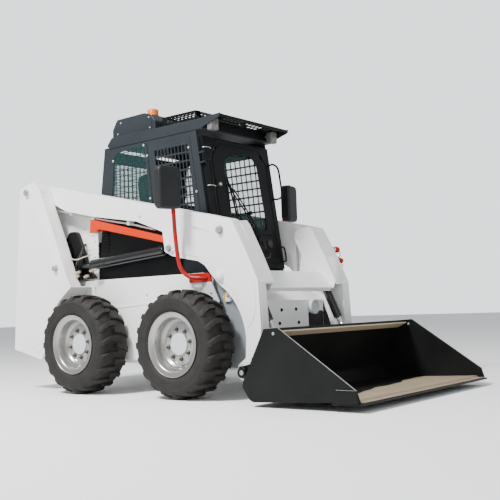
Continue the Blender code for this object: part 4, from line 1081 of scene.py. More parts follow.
def makeDoor():
    outer = roundLine(
        [
            (-0.345, 0.290, 0.03), (0.345, 0.290, 0.03), (0.345, 0.900, 0.10), (0.250, 1.020, 0.08),
            (-0.250, 1.020, 0.08), (-0.345, 0.900, 0.10)
        ],
        4
    )
    inner = roundLine(
        [
            (-0.215, 0.325, 0.03), (0.250, 0.325, 0.03), (0.225, 0.900, 0.07), (0.150, 0.962, 0.06),
            (-0.150, 0.940, 0.05), (-0.215, 0.860, 0.05)
        ],
        4
    )
    build(
        "doorSurround", [laidOnDoor(ringSlab(outer, inner, -0.001, 0.004))], "black_paint", "cab_door", bevel=0.0015
    )
    bead = roundLine(
        [
            (-0.372, 0.080, 0.03), (0.372, 0.080, 0.03), (0.372, 0.915, 0.12), (0.270, 1.046, 0.10),
            (-0.270, 1.046, 0.10), (-0.372, 0.915, 0.12)
        ],
        5
    )
    beadPath = [onDoor(x, up, 0.002) for x, up in bead]
    build("doorBead", [tube(beadPath + beadPath[:1], 0.0035, 8, False)], "black_rubber", "cab_door", "black_paint")
    panel = roundBox(-0.335, 0.335, 0.060, 0.262, 0.03, 4)
    build("doorPanel", [laidOnDoor(slab(panel, -0.001, 0.004))], "black_paint", "cab_door", bevel=0.002)
    # wiper on its two arms, with the motor below
    arms = [
        tube(doorPath((x0, 0.636, 0.022), (x1, 0.430, 0.028), (x2, 0.215, 0.020)), 0.0055, 8)
        for x0, x1, x2 in ((-0.190, -0.030, 0.115), (-0.150, 0.005, 0.145))
    ]
    blade = tube(doorPath((-0.205, 0.745, 0.010), (-0.170, 0.560, 0.012), (-0.125, 0.350, 0.010)), 0.007, 8)
    spine = tube(doorPath((-0.205, 0.700, 0.018), (-0.168, 0.610, 0.024), (-0.130, 0.420, 0.018)), 0.005, 8)
    link = rod(onDoor(-0.200, 0.640, 0.022), onDoor(-0.140, 0.636, 0.022), 0.006, 10)
    build("wiper", arms + [blade, spine, link], "black_paint", "cab_door")
    motor = laidOnDoor(slab(roundBox(0.080, 0.180, 0.150, 0.250, 0.02, 4), 0.000, 0.030))
    knobs = [
        rod(onDoor(0.010, 0.452, 0.004), onDoor(0.010, 0.452, 0.046), 0.016, 20),
        rod(onDoor(0.130, 0.205, 0.0), onDoor(0.130, 0.205, 0.038), 0.020, 20)
    ]
    build("wiperMotor", [motor] + knobs, "black_paint", "cab_door", bevel=0.003)
    horn = [
        (0.0, 0), (0.0, 0.024), (0.010, 0.026), (0.016, 0.034), (0.020, 0.036), (0.022, 0.034), (0.018, 0.028),
        (0.010, 0.012), (0.010, 0)
    ]
    build(
        "doorHorn", [lathe(horn, onDoor(0.236, 0.205, 0.003), onDoor(0, 0, 1) - onDoor(0, 0, 0), 32)], "cast_iron",
        "cab_door", "black_paint"
    )
    build(
        "doorLatch", [laidOnDoor(slab(roundBox(-0.340, -0.270, 0.640, 0.715, 0.01, 3), 0.002, 0.009))],
        "black_paint", "cab_door", bevel=0.002
    )
    build(
        "doorLock", [rod(onDoor(-0.308, 0.672, 0.006), onDoor(-0.308, 0.672, 0.026), 0.013, 20)], "zinc",
        "cab_door", "chrome"
    )
    grip = doorPath(
        (0.400, 0.612, 0.004), (0.425, 0.606, 0.035), (0.470, 0.640, 0.050), (0.474, 0.760, 0.052),
        (0.470, 0.880, 0.050), (0.425, 0.918, 0.035), (0.400, 0.910, 0.004)
    )
    low = doorPath(
        (0.400, 0.060, 0.003), (0.418, 0.062, 0.026), (0.422, 0.120, 0.030), (0.418, 0.178, 0.026),
        (0.400, 0.180, 0.003)
    )
    build("doorGrips", [tube(grip, 0.0085, 12), tube(low, 0.007, 12)], "black_paint", "cab_door")
    rail = doorPath(
        (-0.090, 0.080, 0.003), (-0.088, 0.078, 0.024), (0.020, 0.074, 0.030), (0.175, 0.082, 0.030),
        (0.205, 0.120, 0.026), (0.208, 0.150, 0.003)
    )
    build("stepRail", [tube(rail, 0.006, 10)], "cast_iron", "cab_door", "black_paint")
    clips = []
    for up in (0.645, 0.960):
        hook = [
            (-0.450, 0.004), (-0.446, 0.020), (-0.420, 0.028), (-0.385, 0.026), (-0.366, 0.016), (-0.362, 0.003)
        ]
        clips.append(tube([onDoor(x, up + 0.004, out) for x, out in hook], 0.0035, 8))
    build("doorClips", clips, "zinc", "cab_door", "chrome")
    print("door made")


# seat
seat = {"cushion": (0.235, 0.385, 0.895, 1.235, 1.355), "back": (0.225, 1.330, 1.890)}


def cushion(halfWide, halfDeep, halfThick, crown, channels=0):
    # a crowned pad about the origin, thickness along z
    bm = bmesh.new()
    bmesh.ops.create_cube(bm, size=2.0)
    bmesh.ops.subdivide_edges(bm, edges=bm.edges, cuts=14, use_grid_fill=True)
    power, channelDepth, channelWidth = 6.0, 0.006, 40
    for vert in bm.verts:
        x, y, z = vert.co
        size = (abs(x) ** power + abs(y) ** power + abs(z) ** power) ** (1 / power)
        x, y, z = x / size, y / size, z / size
        swell = (1 - x * x) * (1 - y * y)
        lift = crown * swell
        groove = 0.0
        if channels:
            groove = channelDepth * math.exp(
                -((math.sin(y * math.pi * channels / 2)) ** 2) * channelWidth
            ) * swell**0.3
        depth = halfThick * z + math.copysign(lift - groove, z) * abs(z)
        vert.co = (x * halfWide, y * halfDeep, depth)
    bmesh.ops.recalc_face_normals(bm, faces=bm.faces)
    return bm


def placed(bm, matrix):
    bm.transform(matrix)
    return bm


def makeSeat():
    halfWide, front, back, low, high = seat["cushion"]
    middle, thick = (front + back) / 2, (high - low) / 2
    base = Matrix.Translation((0, middle, (low + high) / 2)) @ Matrix.Rotation(math.radians(3), 4, "X")
    pad = build(
        "seatCushion", [placed(cushion(halfWide, (back - front) / 2, thick * 0.8, 0.020, 4), base)], "black_vinyl",
        "machine", replaced=("operator_seat",)
    )
    backWide, backLow, backHigh = seat["back"]
    lean = Matrix.Translation((0, 0.930, (backLow + backHigh) / 2)) @ Matrix.Rotation(math.radians(82), 4, "X")
    pad = build(
        "seatBack", [placed(cushion(backWide, (backHigh - backLow) / 2, 0.050, 0.024, 5), lean)], "black_vinyl",
        "machine"
    )
    for tag, side in sides:
        rest = Matrix.Translation((side * 0.282, 0.620, 1.500))
        pad = build("armRest" + tag, [placed(cushion(0.042, 0.235, 0.028, 0.008), rest)], "black_vinyl", "machine")
        lever = [(side * 0.290, 0.470, 1.270), (side * 0.292, 0.440, 1.400), (side * 0.280, 0.400, 1.560)]
        boot = lathe(
            [
                (0, 0), (0, 0.030), (0.010, 0.030), (0.013, 0.022), (0.022, 0.026), (0.027, 0.018), (0.038, 0.020),
                (0.046, 0.010), (0.046, 0)
            ],
            (side * 0.290, 0.470, 1.270), (0, -0.2, 1), 20
        )
        knob = lathe(
            [(0, 0), (0, 0.012), (0.020, 0.020), (0.060, 0.023), (0.085, 0.018), (0.092, 0)],
            (side * 0.281, 0.405, 1.540), (0, -0.25, 1), 20
        )
        console = slab(
            roundLine([(0.380, 1.020, 0.02), (0.900, 1.020, 0.02), (0.900, 1.270, 0.03), (0.400, 1.270, 0.03)], 4),
            side * 0.250, side * 0.330
        )
        post = box(*sorted((side * 0.262, side * 0.300)), 0.760, 0.850, 1.260, 1.480)
        build("lever" + tag, [tube(lever, 0.009, 10), boot, knob], "black_rubber", "machine", "black_vinyl")
        build("console" + tag, [console, post], "black_paint", "machine", bevel=0.004)
    plinth = slab(
        roundLine([(0.430, 1.020, 0.03), (0.920, 1.020, 0.03), (0.890, 1.225, 0.04), (0.450, 1.225, 0.04)], 4),
        -0.210, 0.210
    )
    frameBack = slab([(0.965, 1.240), (0.985, 1.240), (1.020, 1.800), (1.004, 1.800)], -0.150, 0.150)
    build("seatPlinth", [plinth, frameBack], "black_paint", "machine", bevel=0.004)
    print("seat made")


# lift arm details
arm = {"outerX": 0.617, "plate": 0.004}


def makeArmDetails():
    x = arm["outerX"]
    wheelArc = [
        (0.545 * math.cos(math.radians(a)), 0.410 + 0.545 * math.sin(math.radians(a))) for a in range(168, 121, -5)
    ]
    outline = [
        (0.604, 1.424, 0.030), (0.530, 1.478, 0.080), (0.275, 1.452), (-0.370, 1.300, 0.050),
        (-0.500, 1.062, 0.200), (-0.598, 0.850, 0.050), (-0.610, 0.660, 0.020), (-0.575, 0.560, 0.020)
    ] + wheelArc + [(-0.150, 0.984), (-0.060, 1.066), (0.120, 1.102), (0.255, 1.150, 0.030), (0.278, 1.306, 0.030)]
    slot = [(0.005, 1.321, 0.010), (-0.002, 1.300, 0.010), (-0.186, 1.240, 0.010), (-0.180, 1.262, 0.010)]
    for tag, side in sides:
        body = "lift_arms"
        build(
            "armPlate" + tag, forSide(side, [slab(roundLine(outline, 5), -x - arm["plate"], -x + 0.001)]),
            "white_paint", body, bevel=0.003
        )
        face = x + arm["plate"]
        build(
            "armSlot" + tag, forSide(side, [slab(roundLine(slot, 3), -face - 0.003, -face + 0.001)]), "white_paint",
            body, bevel=0.0015
        )
        pins = []
        for y, z, radius, out in ((-0.293, 1.252, 0.024, 0.030), (0.241, 1.153, 0.020, 0.022)):
            pins.append(
                lathe(
                    [
                        (0, 0), (0, radius + 0.008), (0.004, radius + 0.007), (0.005, radius),
                        (out - 0.003, radius), (out, radius - 0.003), (out - 0.002, radius * 0.55), (out - 0.003, 0)
                    ],
                    (-face, y, z), (-1, 0, 0), 28
                )
            )
        build("armPins" + tag, forSide(side, pins), "pin_grey", body, "worn_steel")
        dome = lathe(
            [(0, 0), (0, 0.038), (0.010, 0.037), (0.018, 0.033), (0.024, 0.026), (0.028, 0.014), (0.029, 0)],
            (-face, -0.279, 0.906), (-1, 0, 0), 32
        )
        build("armBoss" + tag, forSide(side, [dome]), "white_paint", body)
        # covers on the sloping front
        upper = [
            (-0.6175, 0.862), (-0.520, 1.082), (-0.398, 1.316), (-0.404, 1.320), (-0.527, 1.086), (-0.6245, 0.866)
        ]
        lower = [(-0.634, 0.520), (-0.6175, 0.856), (-0.6340, 0.857), (-0.6515, 0.520)]
        fronts = [
            slab([(y - 0.0015, z) for y, z in upper], -0.598, -0.432),
            slab([(y - 0.0015, z) for y, z in lower], -0.598, -0.540)
        ]
        build("armFront" + tag, forSide(side, fronts), "white_paint", body, bevel=0.002)
        step = slab(
            evenLine([(-0.640, 0.835), (-0.640, 0.857), (-0.600, 0.864), (-0.600, 0.842)], 0.004, 3), -0.575, -0.432
        )
        build("armStep" + tag, forSide(side, [step]), "white_paint", body)
    bolts = [
        ((side * (x + 0.0035), y, z), (side, 0, 0)) for side in (-1, 1) for y,
        z in ((0.205, 1.118), (0.560, 1.436), (-0.560, 0.300), (-0.520, 0.200))
    ]
    fixings("armBolts", bolts, hexBolt(0.009, 0.008), "hub_grey", "lift_arms", "worn_steel", 21)
    # steel pipes under the boom and their clamps
    for tag, side in sides:
        pipes = []
        for x0, drop in ((-0.585, 0.0), (-0.560, -0.004)):
            route = [
                (x0, 1.640, 1.590 + drop), (x0, 1.489, 1.556 + drop), (x0, 1.163, 1.478 + drop),
                (x0, 0.721, 1.391 + drop), (x0, 0.560, 1.352 + drop), (x0, 0.440, 1.322 + drop)
            ]
            pipes.append(tube(route, 0.0075, 10))
        build("boomPipes" + tag, forSide(side, pipes), "zinc", "lift_arms", "worn_steel")
        clamps = []
        for y, z in ((1.163, 1.478), (0.721, 1.391), (1.450, 1.545)):
            clamps.append(
                slab(
                    evenLine(
                        [
                            (y - 0.016, z - 0.014), (y + 0.016, z - 0.008), (y + 0.016, z + 0.030),
                            (y - 0.016, z + 0.024)
                        ],
                        0.005, 3
                    ),
                    -0.602, -0.543
                )
            )
        build("pipeClamps" + tag, forSide(side, clamps), "hub_grey", "lift_arms", "white_paint", bevel=0.002)
    # quick couplers on the left arm's outer side, each with its red cap and strap
    caps, bodies = [], []
    for y, z, long, radius in ((-0.455, 1.148, 0.120, 0.024), (-0.508, 1.052, 0.064, 0.020)):
        first = Vector((x, y, z))
        last = first + Vector((long, -0.020, -0.012))
        mid = first.lerp(last, 0.55)
        bodies.append(rod(first, mid, radius - 0.004, 16))
        bodies.append(
            lathe([(0, 0), (0, radius + 0.004), (0.008, radius + 0.004), (0.008, 0)], first, last - first, 6)
        )
        caps.append(
            lathe(
                [
                    (0, 0), (0, radius), (0.006, radius + 0.003), (0.034, radius + 0.003), (0.042, radius),
                    (0.046, radius * 0.5), (0.046, 0)
                ],
                mid, last - mid, 20
            )
        )
        hang = last + Vector((0.012, 0, -0.010))
        caps.append(
            tube(
                [
                    hang, hang + Vector((0.004, 0, -0.040)), mid + Vector((0.010, 0, -0.075)),
                    mid + Vector((-0.010, 0, -0.060))
                ],
                0.0035, 8
            )
        )
    build("couplerBodies", bodies, "zinc", "lift_arms", "worn_steel")
    build("couplerCaps", caps, "red_paint", "lift_arms")
    print("arm details made")


# tower, side cover and fender details
tower = {"outerX": 0.740}


def makeTowerDetails():
    x = tower["outerX"]
    for tag, side in sides:
        heads = []
        for y, z, radius in ((1.877, 1.768, 0.028), (1.491, 1.060, 0.024)):
            heads.append(
                lathe(
                    [
                        (0, 0), (0, radius + 0.006), (0.003, radius + 0.005), (0.004, radius), (0.028, radius),
                        (0.031, radius - 0.003), (0.028, radius * 0.5), (0.027, 0)
                    ],
                    (-x + 0.0005, y, z), (-1, 0, 0), 28
                )
            )
        build("towerPins" + tag, forSide(side, heads), "pin_grey", "machine", "worn_steel")
        lid = lathe(
            [(0, 0), (0, 0.064), (0.003, 0.064), (0.005, 0.062), (0.006, 0.020), (0.007, 0)],
            (-x + 0.0005, 1.742, 0.401), (-1, 0, 0), 48
        )
        tie = slab(roundBox(1.795, 1.830, 0.372, 0.430, 0.006, 3), -x - 0.007, -x + 0.001)
        build("towerLid" + tag, forSide(side, [lid, tie]), "white_paint", "machine", bevel=0.001)
        slotLine = roundLine(
            [
                (1.640, 1.300), (1.575, 1.395, 0.050), (1.470, 1.395, 0.060), (1.372, 1.180, 0.060),
                (1.330, 1.060, 0.040), (1.235, 0.965), (1.600, 0.965)
            ],
            5
        )
        build(
            "hoseSlot" + tag, forSide(side, [slab(slotLine, -0.520, -0.4845)]), "black_rubber", "machine",
            "black_paint", bevel=0.003
        )
    lidScrews = [
        ((side * (x + 0.005), 1.742 + 0.050 * math.cos(a), 0.401 + 0.050 * math.sin(a)), (side, 0, 0))
        for side in (-1, 1) for a in (i * math.pi / 3 for i in range(6))
    ]
    fixings("lidScrews", lidScrews, domeScrew(0.006, 0.004), "zinc", "machine", "chrome", 31)
    print("tower details made")


cover = {"x": 0.482, "louvres": 7}


def makeSideDetails():
    for tag, side in sides:
        blade = slab([(0.0, 0.0), (0.085, 0.0), (0.085, 0.010), (0.0, 0.010)], -0.010, 0.0)
        louvres = grown(
            "rows", "louvres" + tag, [blade], "black_paint", Across=1, Up=cover["louvres"],
            **{"Step Up": (0, 0, 0.026)}
        )
        louvres.transform(Matrix.Translation((side * cover["x"] + (0.010 if side > 0 else 0.0), 1.085, 1.185)))
        addPiece("louvres" + tag, shifted(louvres), "black_paint", "machine", "black_paint")
        pipe = [
            tube(
                [(-0.640, 1.440, 1.150), (-0.645, 1.330, 1.130), (-0.645, 1.240, 1.145), (-0.645, 1.140, 1.160)],
                0.0055, 8
            )
        ]
        fittings = []
        for y, z, long in (
            (1.117, 1.027, 0.090), (1.318, 1.018, 0.060), (1.208, 0.979, 0.060), (1.420, 0.972, 0.070),
            (1.330, 0.985, 0.050)
        ):
            start = Vector((-0.640, y + long / 2, z - 0.006))
            end = Vector((-0.640, y - long / 2, z + 0.006))
            fittings.append(rod(start, end, 0.011, 12))
            fittings.append(
                lathe([(0, 0), (0, 0.016), (0.020, 0.016), (0.020, 0)], start.lerp(end, 0.3), end - start, 6)
            )
        build("fittings" + tag, forSide(side, pipe + fittings), "brass_yellow", "machine", "chrome")
        hoses = []
        for y0, z0, x0 in ((1.400, 1.200, -0.510), (1.430, 1.150, -0.520), (1.380, 1.250, -0.500)):
            hoses.append(
                tube(
                    [
                        (x0 + 0.03, y0 + 0.02, z0 + 0.03), (x0 - 0.03, y0 - 0.010, z0),
                        (x0 - 0.075, y0 - 0.035, z0 - 0.080), (x0 - 0.070, y0 - 0.020, z0 - 0.180),
                        (x0 - 0.050, y0 + 0.020, 0.965)
                    ],
                    0.011, 10
                )
            )
        build("towerHoses" + tag, forSide(side, hoses), "black_rubber", "machine", "black_paint")
    panel = [
        (1.402, 1.410), (1.262, 1.289), (1.345, 1.218), (1.300, 1.420), (1.330, 1.380), (1.290, 1.345),
        (1.225, 1.250), (1.225, 1.180), (1.270, 1.150)
    ]
    bolts = [((side * 0.4845, y, z), (side, 0, 0)) for side in (-1, 1) for y, z in panel]
    fixings("panelScrews", bolts, domeScrew(0.006, 0.004), "cast_iron", "machine", "black_paint", 32)
    # fold between the wheels, hexagonal tie-down and bolts on the fender
    for tag, side in sides:
        fold = slab([(1.134, 0.682), (1.134, 0.696), (0.526, 0.734), (0.526, 0.720)], -0.564, -0.556)
        build("fenderFold" + tag, forSide(side, [fold]), "white_paint", "machine", bevel=0.003)
        # painted shade: a grey sheet beside the chassis stands in for the shadow under the arm's wheel arc
        shadeOutline = [
            (-0.120, 0.925), (-0.400, 0.735), (-0.436, 0.710), (-0.436, 0.295), (-0.370, 0.215), (-0.120, 0.232)
        ]
        build(
            "frontSkirt" + tag, forSide(side, [slab(shadeOutline, -0.5125, -0.5095)]), "painted_shade_grey", "machine",
            "white_paint"
        )
        bracket = roundLine(
            [(-0.059, 0.871), (-0.150, 0.871), (-0.232, 0.705, 0.015), (-0.120, 0.705, 0.015), (-0.059, 0.790)], 4
        )
        build(
            "fenderBracket" + tag, forSide(side, [slab(bracket, -0.575, -0.560)]), "hub_grey", "machine",
            "white_paint", bevel=0.003
        )
        hexagon = [
            (-0.269 + 0.042 * math.cos(math.radians(a)), 0.752 + 0.042 * math.sin(math.radians(a)))
            for a in range(0, 360, 60)
        ]
        build(
            "tieDown" + tag, forSide(side, [slab(hexagon, -0.530, -0.505)]), "white_paint", "machine", bevel=0.003
        )
        build(
            "tieMark" + tag, forSide(side, [box(-0.5315, -0.529, -0.250, -0.236, 0.722, 0.782)]), "yellow_mark",
            "machine", "orange_paint"
        )
    places = [(-0.275, 0.757, 0.530), (-0.150, 0.790, 0.575), (1.134, 0.800, 0.560), (0.560, 0.800, 0.560)]
    bolts = [((side * x, y, z), (side, 0, 0)) for side in (-1, 1) for y, z, x in places]
    fixings("fenderBolts", bolts, hexBolt(0.008, 0.007), "zinc", "machine", "chrome", 33)
    front = [
        ((x, -0.4405, z), (0, -1, 0)) for x, z in ((-0.080, 0.640), (0.115, 0.643), (0.148, 0.536), (-0.110, 0.536))
    ]
    fixings("frontBolts", front, hexBolt(0.011, 0.009), "black_paint", "machine", "black_paint", 34)
    # a flat black sheet on the front face where a dark gap shows beside the far leg
    darkSheet = frontSlab(roundBox(0.290, 0.503, 0.330, 0.625, 0.020, 4), -0.4425, -0.4395)
    build("frontOpening", [darkSheet], "black_rubber", "machine", "black_paint")
    ring = lathe(
        [(0, 0), (0, 0.062), (0.032, 0.062), (0.036, 0.058), (0.036, 0.048), (0.022, 0.046), (0.022, 0)],
        (0.345, -0.440, 0.658), (0, -1, 0), 36
    )
    build("frontBoss", [ring], "hub_grey", "machine", "white_paint")
    print("side details made")


# rear door: lamps, louvres, handle
rear = {"y": 2.043, "rows": 9}


def makeRearDetails():
    face = rear["y"]
    blade = slab([(0.0, 0.0), (0.012, -0.004), (0.014, 0.012), (0.0, 0.020)], 0.0, 0.560)
    slats = grown(
        "rows", "rearSlats", [blade], "black_paint", Across=1, Up=rear["rows"], **{"Step Up": (0, 0, 0.040)}
    )
    slats.transform(Matrix.Translation((-0.280, face - 0.001, 0.960)))
    addPiece("rearSlats", shifted(slats), "black_paint", "rear_door", "black_paint")
    frameOuter = [(-0.310, 0.930), (0.310, 0.930), (0.310, 1.345), (-0.310, 1.345)]
    frameInner = [(-0.284, 0.955), (0.284, 0.955), (0.284, 1.320), (-0.284, 1.320)]
    bm = ringSlab(frameOuter, frameInner, 0.0, 0.010)
    for vert in bm.verts:
        vert.co = Vector((vert.co.y, face - 0.001 + vert.co.x, vert.co.z))
    bmesh.ops.recalc_face_normals(bm, faces=bm.faces)
    build("rearGrilleFrame", [bm], "slate_paint", "rear_door", bevel=0.003)
    build(
        "rearHandle",
        [
            tube(
                [
                    (-0.350, face - 0.004, 1.020), (-0.350, face + 0.022, 1.030), (-0.350, face + 0.026, 1.100),
                    (-0.350, face + 0.022, 1.170), (-0.350, face - 0.004, 1.180)
                ],
                0.008, 12
            )
        ],
        "black_paint", "rear_door"
    )
    for tag, side in sides:
        lamp = frontSlab(
            roundBox(side * 0.410 - 0.020, side * 0.410 + 0.020, 1.420, 1.540, 0.010, 4), face - 0.002, face + 0.012
        )
        build("tailLamp" + tag, [lamp], "red_paint", "rear_door", bevel=0.003)
    print("rear details made")


# bucket
bucketWear = {
    "half": 0.947, "lip": (-1.657, 0.0640), "step": (-1.594, 0.0618), "front": (-1.584, 0.0736),
    "heel": (-0.797, 0.0454), "nearBack": -1.370, "farBack": -1.100
}


def floorWear():
    # worn front of the floor, its back edge wandering from side to side
    bm = bmesh.new()
    reach = bucketWear["half"] - 0.016
    stations = 60
    rows = []
    for i in range(stations + 1):
        share = i / stations
        x = -reach + 2 * reach * share
        back = bucketWear["nearBack"] + (bucketWear["farBack"] - bucketWear["nearBack"]) * share**1.2
        back += 0.018 * math.sin(share * 17) + 0.010 * math.sin(share * 41 + 1)
        line = [bucketWear["lip"], bucketWear["step"], bucketWear["front"]]
        line += [
            (y, floorTop(y)) for y in (bucketWear["front"][0] * (1 - k / 4) + back * k / 4 for k in range(1, 5))
        ]
        row = [bm.verts.new((x, y, z + 0.001)) for y, z in line]
        rows.append(row)
    for first, second in zip(rows, rows[1:]):
        for k in range(6):
            bm.faces.new((first[k], second[k], second[k + 1], first[k + 1]))
    bmesh.ops.solidify(bm, geom=bm.faces, thickness=0.001)
    bmesh.ops.recalc_face_normals(bm, faces=bm.faces)
    return bm


def floorTop(y):
    # upper face of the bucket's floor
    heel, front = bucketWear["heel"], bucketWear["front"]
    return heel[1] + (front[1] - heel[1]) * (y - heel[0]) / (front[0] - heel[0])


def makeBucketDetails():
    half = bucketWear["half"]
    body = "bucket"
    edges = []
    for tag, side in sides:
        wear = [(-1.475, 0.052), (-1.638, 0.060), (-1.6175, 0.138), (-1.475, 0.138)]
        build(
            "sideWear" + tag, forSide(side, [slab(wear, -half - 0.006, -half + 0.002)]), "bucket_paint", body,
            bevel=0.002
        )
        top = [(-1.036, 0.527), (-1.617, 0.136), (-1.6178, 0.1375), (-1.0360, 0.5288)]
        rear = [(-0.923, 0.5203), (-1.036, 0.5273), (-1.036, 0.5290), (-0.923, 0.5220)]
        edges += forSide(side, [slab(top, -half + 0.001, -half + 0.011), slab(rear, -half + 0.001, -half + 0.011)])
        lip = [(-1.475, 0.1375), (-1.612, 0.1378), (-1.612, 0.1392), (-1.475, 0.1390)]
        edges += forSide(side, [slab(lip, -half - 0.006, -half + 0.001)])
        hub = [
            (0, 0), (0, 0.036), (0.004, 0.038), (0.026, 0.038), (0.030, 0.035), (0.030, 0.022), (0.026, 0.020),
            (0.026, 0)
        ]
        build(
            "couplerHub" + tag, forSide(side, [lathe(hub, (-0.648, -0.500, 0.200), (-1, 0, 0), 32)]), "black_paint",
            body
        )
        cap = [(0, 0), (0, 0.018), (0.003, 0.018), (0.005, 0.014), (0.005, 0)]
        build(
            "couplerCap" + tag, forSide(side, [lathe(cap, (-0.673, -0.500, 0.200), (-1, 0, 0), 24)]), "pin_grey",
            body, "worn_steel"
        )
    build("bucketEdges", edges, "bright_edge", body, "bucket_paint")
    build("floorWear", [floorWear()], "worn_steel", body)
    strip = [
        (-0.9910, 0.5060), (-0.9910, 0.4990), (-0.9120, 0.4640), (-0.9135, 0.4625), (-0.9925, 0.4975),
        (-0.9925, 0.5060)
    ]
    build("bucketStrip", [slab(strip, -half + 0.030, half - 0.030)], "worn_steel", body)
    bolts = [((side * half, -1.003, 0.488), (side, 0, 0)) for side in (-1, 1)]
    bolts += [((side * (half - 0.012), -1.003, 0.488), (-side, 0, 0)) for side in (-1, 1)]
    fixings("bucketBolts", bolts, domeScrew(0.011, 0.007), "pin_grey", body, "worn_steel", 41)
    print("bucket details made")


mirror = {"drop": 0.036, "toeIn": 14, "corner": 0.042, "edge": 0.020}


def makeMirrors():
    # rounded heads in place of the frame's, with a clamp where the arm meets them
    for tag, side in sides:
        name = tag.lower()
        node = f"mirror_{name}"
        low, high = (Vector(corner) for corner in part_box(node))
        middle, half = (low + high) / 2, (high - low) / 2
        middle.y -= frontAxleY
        middle.z -= mirror["drop"]
        turn = Matrix.Translation(middle) @ Matrix.Rotation(math.radians(mirror["toeIn"] * side), 4, "Z")
        corners = [(-half.x, -half.z), (half.x, -half.z), (half.x, half.z), (-half.x, half.z)]
        outline = roundLine([(*corner, mirror["corner"]) for corner in corners], 6)
        shell = placed(frontSlab(outline, -half.y, half.y), turn)
        build(
            "mirrorHead" + tag, [shell], "mirror_shell", "machine", "black_paint", bevel=mirror["edge"], segments=5,
            replaced=(node,)
        )
        pane = placed(frontSlab(shrunk(outline, 0.022), half.y - 0.002, half.y + 0.001), turn)
        build("mirrorGlass" + tag, [pane], "chrome", "machine")
        route = [
            (-0.5665, -0.105, 0.903), (-0.605, -0.070, 0.904), (-0.632, 0.010, 0.914), (-0.654, 0.068, 0.962),
            (-0.668, 0.094, 1.040), (-0.682, 0.100, 1.150), (-0.700, 0.098, 1.300), (-0.716, 0.088, 1.400),
            (-0.722, 0.088, 1.466)
        ]
        plate = evenLine([(-0.152, 0.872), (0.078, 0.872), (0.078, 0.942), (-0.130, 0.942)], 0.008, 3)
        bar = forSide(side, [tube(route, 0.016, 20), slab(plate, -0.5735, -0.5605)])
        build("mirrorBar" + tag, bar, "red_paint", "machine", bevel=0.001, replaced=(f"mirror_arm_{name}",))
        foot = Vector((side * 0.722, 0.088, middle.z - half.z))
        build(
            "mirrorClamp" + tag, [rod(foot - Vector((0, 0, 0.030)), foot + Vector((0, 0, 0.006)), 0.015, 20)],
            "red_paint", "machine"
        )
    print("mirrors made")


makeRoof()
makeCabSides()
makeDoor()
makeSeat()
makeArmDetails()
makeTowerDetails()
makeSideDetails()
makeRearDetails()
makeBucketDetails()
makeMirrors()


# panels carried over from the frame, cleaned and softened
panelEdges = {
    "arm_right": 0.006, "arm_left": 0.006, "arm_crossmember": 0.004, "arm_support": 0.004,
    "tower_right": 0.005, "tower_left": 0.005, "chassis_frame": 0.004, "engine_hood": 0.003,
    "cab_floor": 0.003, "cab_side_right": 0.004, "cab_side_left": 0.004, "cab_rear": 0.003,
    "air_conditioner": 0.006, "side_cover_right": 0.003, "side_cover_left": 0.003, "rear_door": 0.005,
    "door_frame": 0.005,
    "quick_attach": 0.003,
}
for node, width in panelEdges.items():
    refined(node, bevel=width)
refined("bucket", bevel=0.0022, segments=1)
refined("cutting_edge", "bucket_paint", 0.003)
for node in ("front_axle", "rear_axle", "engine_block"):
    refined(node, bevel=0.003)
for kind in ("lift", "tilt"):
    for tag, side in sides:
        name = tag.lower()
        refined(f"{kind}_barrel_{name}", "cylinder_paint", 0.0015, 1)
        refined(f"{kind}_rod_{name}", "chrome", 0.001, 1)
for node in ("door_glass", "rear_window"):
    nodes[node].data.materials.clear()
    nodes[node].data.materials.append(looks["tinted_glass"])
print("panels made")

# camera, floor and light
camera = {"place": (-5.268, -4.4835, 0.656), "heading": 0.9007, "pitch": 0.0717, "roll": -0.0328, "lens": 59.0}
light = {"key": 1500.0, "fill": 120.0, "sky": 0.72, "backdrop": 1.9, "floor": 0.93}


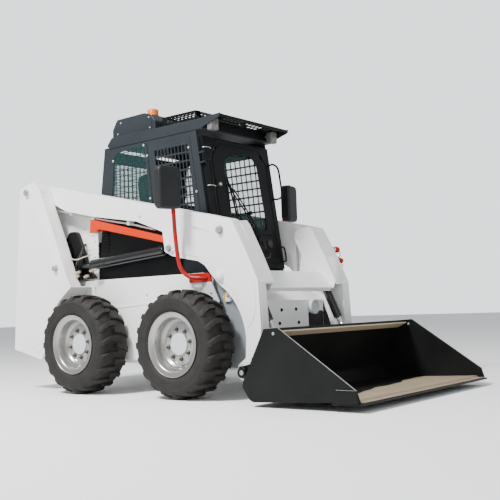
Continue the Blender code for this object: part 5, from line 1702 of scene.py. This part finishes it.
def makeCamera():
    heading, pitch, roll = camera["heading"], camera["pitch"], camera["roll"]
    ahead = Vector((math.sin(heading) * math.cos(pitch), math.cos(heading) * math.cos(pitch), math.sin(pitch)))
    right = Vector((math.cos(heading), -math.sin(heading), 0.0))
    up = right.cross(ahead)
    tilted = right * math.cos(roll) + up * math.sin(roll)
    upright = -right * math.sin(roll) + up * math.cos(roll)
    data = bpy.data.cameras.new("camera")
    data.lens = camera["lens"]
    data.sensor_width = 36.0
    data.clip_end = 200.0
    eye = bpy.data.objects.new("camera", data)
    scene.collection.objects.link(eye)
    turn = Matrix((tilted, upright, -ahead)).transposed().to_4x4()
    eye.matrix_world = Matrix.Translation(camera["place"]) @ turn
    scene.camera = eye


def makeStage():
    mesh = bpy.data.meshes.new("floor")
    far = 40.0
    mesh.from_pydata([(-far, -far, 0), (far, -far, 0), (far, far, 0), (-far, far, 0)], [], [(0, 1, 2, 3)])
    floorLook = bpy.data.materials.new("floorLook")
    floorLook.use_nodes = True
    tree = floorLook.node_tree
    shader = tree.nodes["Principled BSDF"]
    place = addNode(tree, "ShaderNodeTexCoord").outputs["Object"]
    pale = (light["floor"],) * 3
    tree.links.new(
        mixColours(tree, noise(tree, place, 1.5), pale, tuple(c * 0.985 for c in pale)), shader.inputs["Base Color"]
    )
    shader.inputs["Roughness"].default_value = 0.9
    mesh.materials.append(floorLook)
    floor = bpy.data.objects.new("floor", mesh)
    scene.collection.objects.link(floor)
    world = bpy.data.worlds.new("sky")
    world.use_nodes = True
    sky = world.node_tree.nodes["Background"]
    sky.inputs[0].default_value = (0.95, 0.975, 1.0, 1.0)
    seen = addNode(world.node_tree, "ShaderNodeLightPath").outputs["Is Camera Ray"]
    strength = remap(world.node_tree, seen, 0.0, 1.0, light["sky"], light["backdrop"])
    world.node_tree.links.new(strength, sky.inputs[1])
    scene.world = world
    for name, place, aim, size, power in (
        ("key", (-5.5, 1.0, 7.5), (0.0, 0.0, 1.0), 1.6, light["key"]),
        ("fill", (-4.0, -7.0, 3.5), (0.0, -0.5, 0.8), 4.0, light["fill"]),
    ):
        data = bpy.data.lights.new(name, "AREA")
        data.size = size
        data.energy = power
        lamp = bpy.data.objects.new(name, data)
        lamp.location = place
        lamp.rotation_euler = (Vector(aim) - Vector(place)).to_track_quat("-Z", "Y").to_euler()
        scene.collection.objects.link(lamp)


makeCamera()
makeStage()
print("camera and light set")
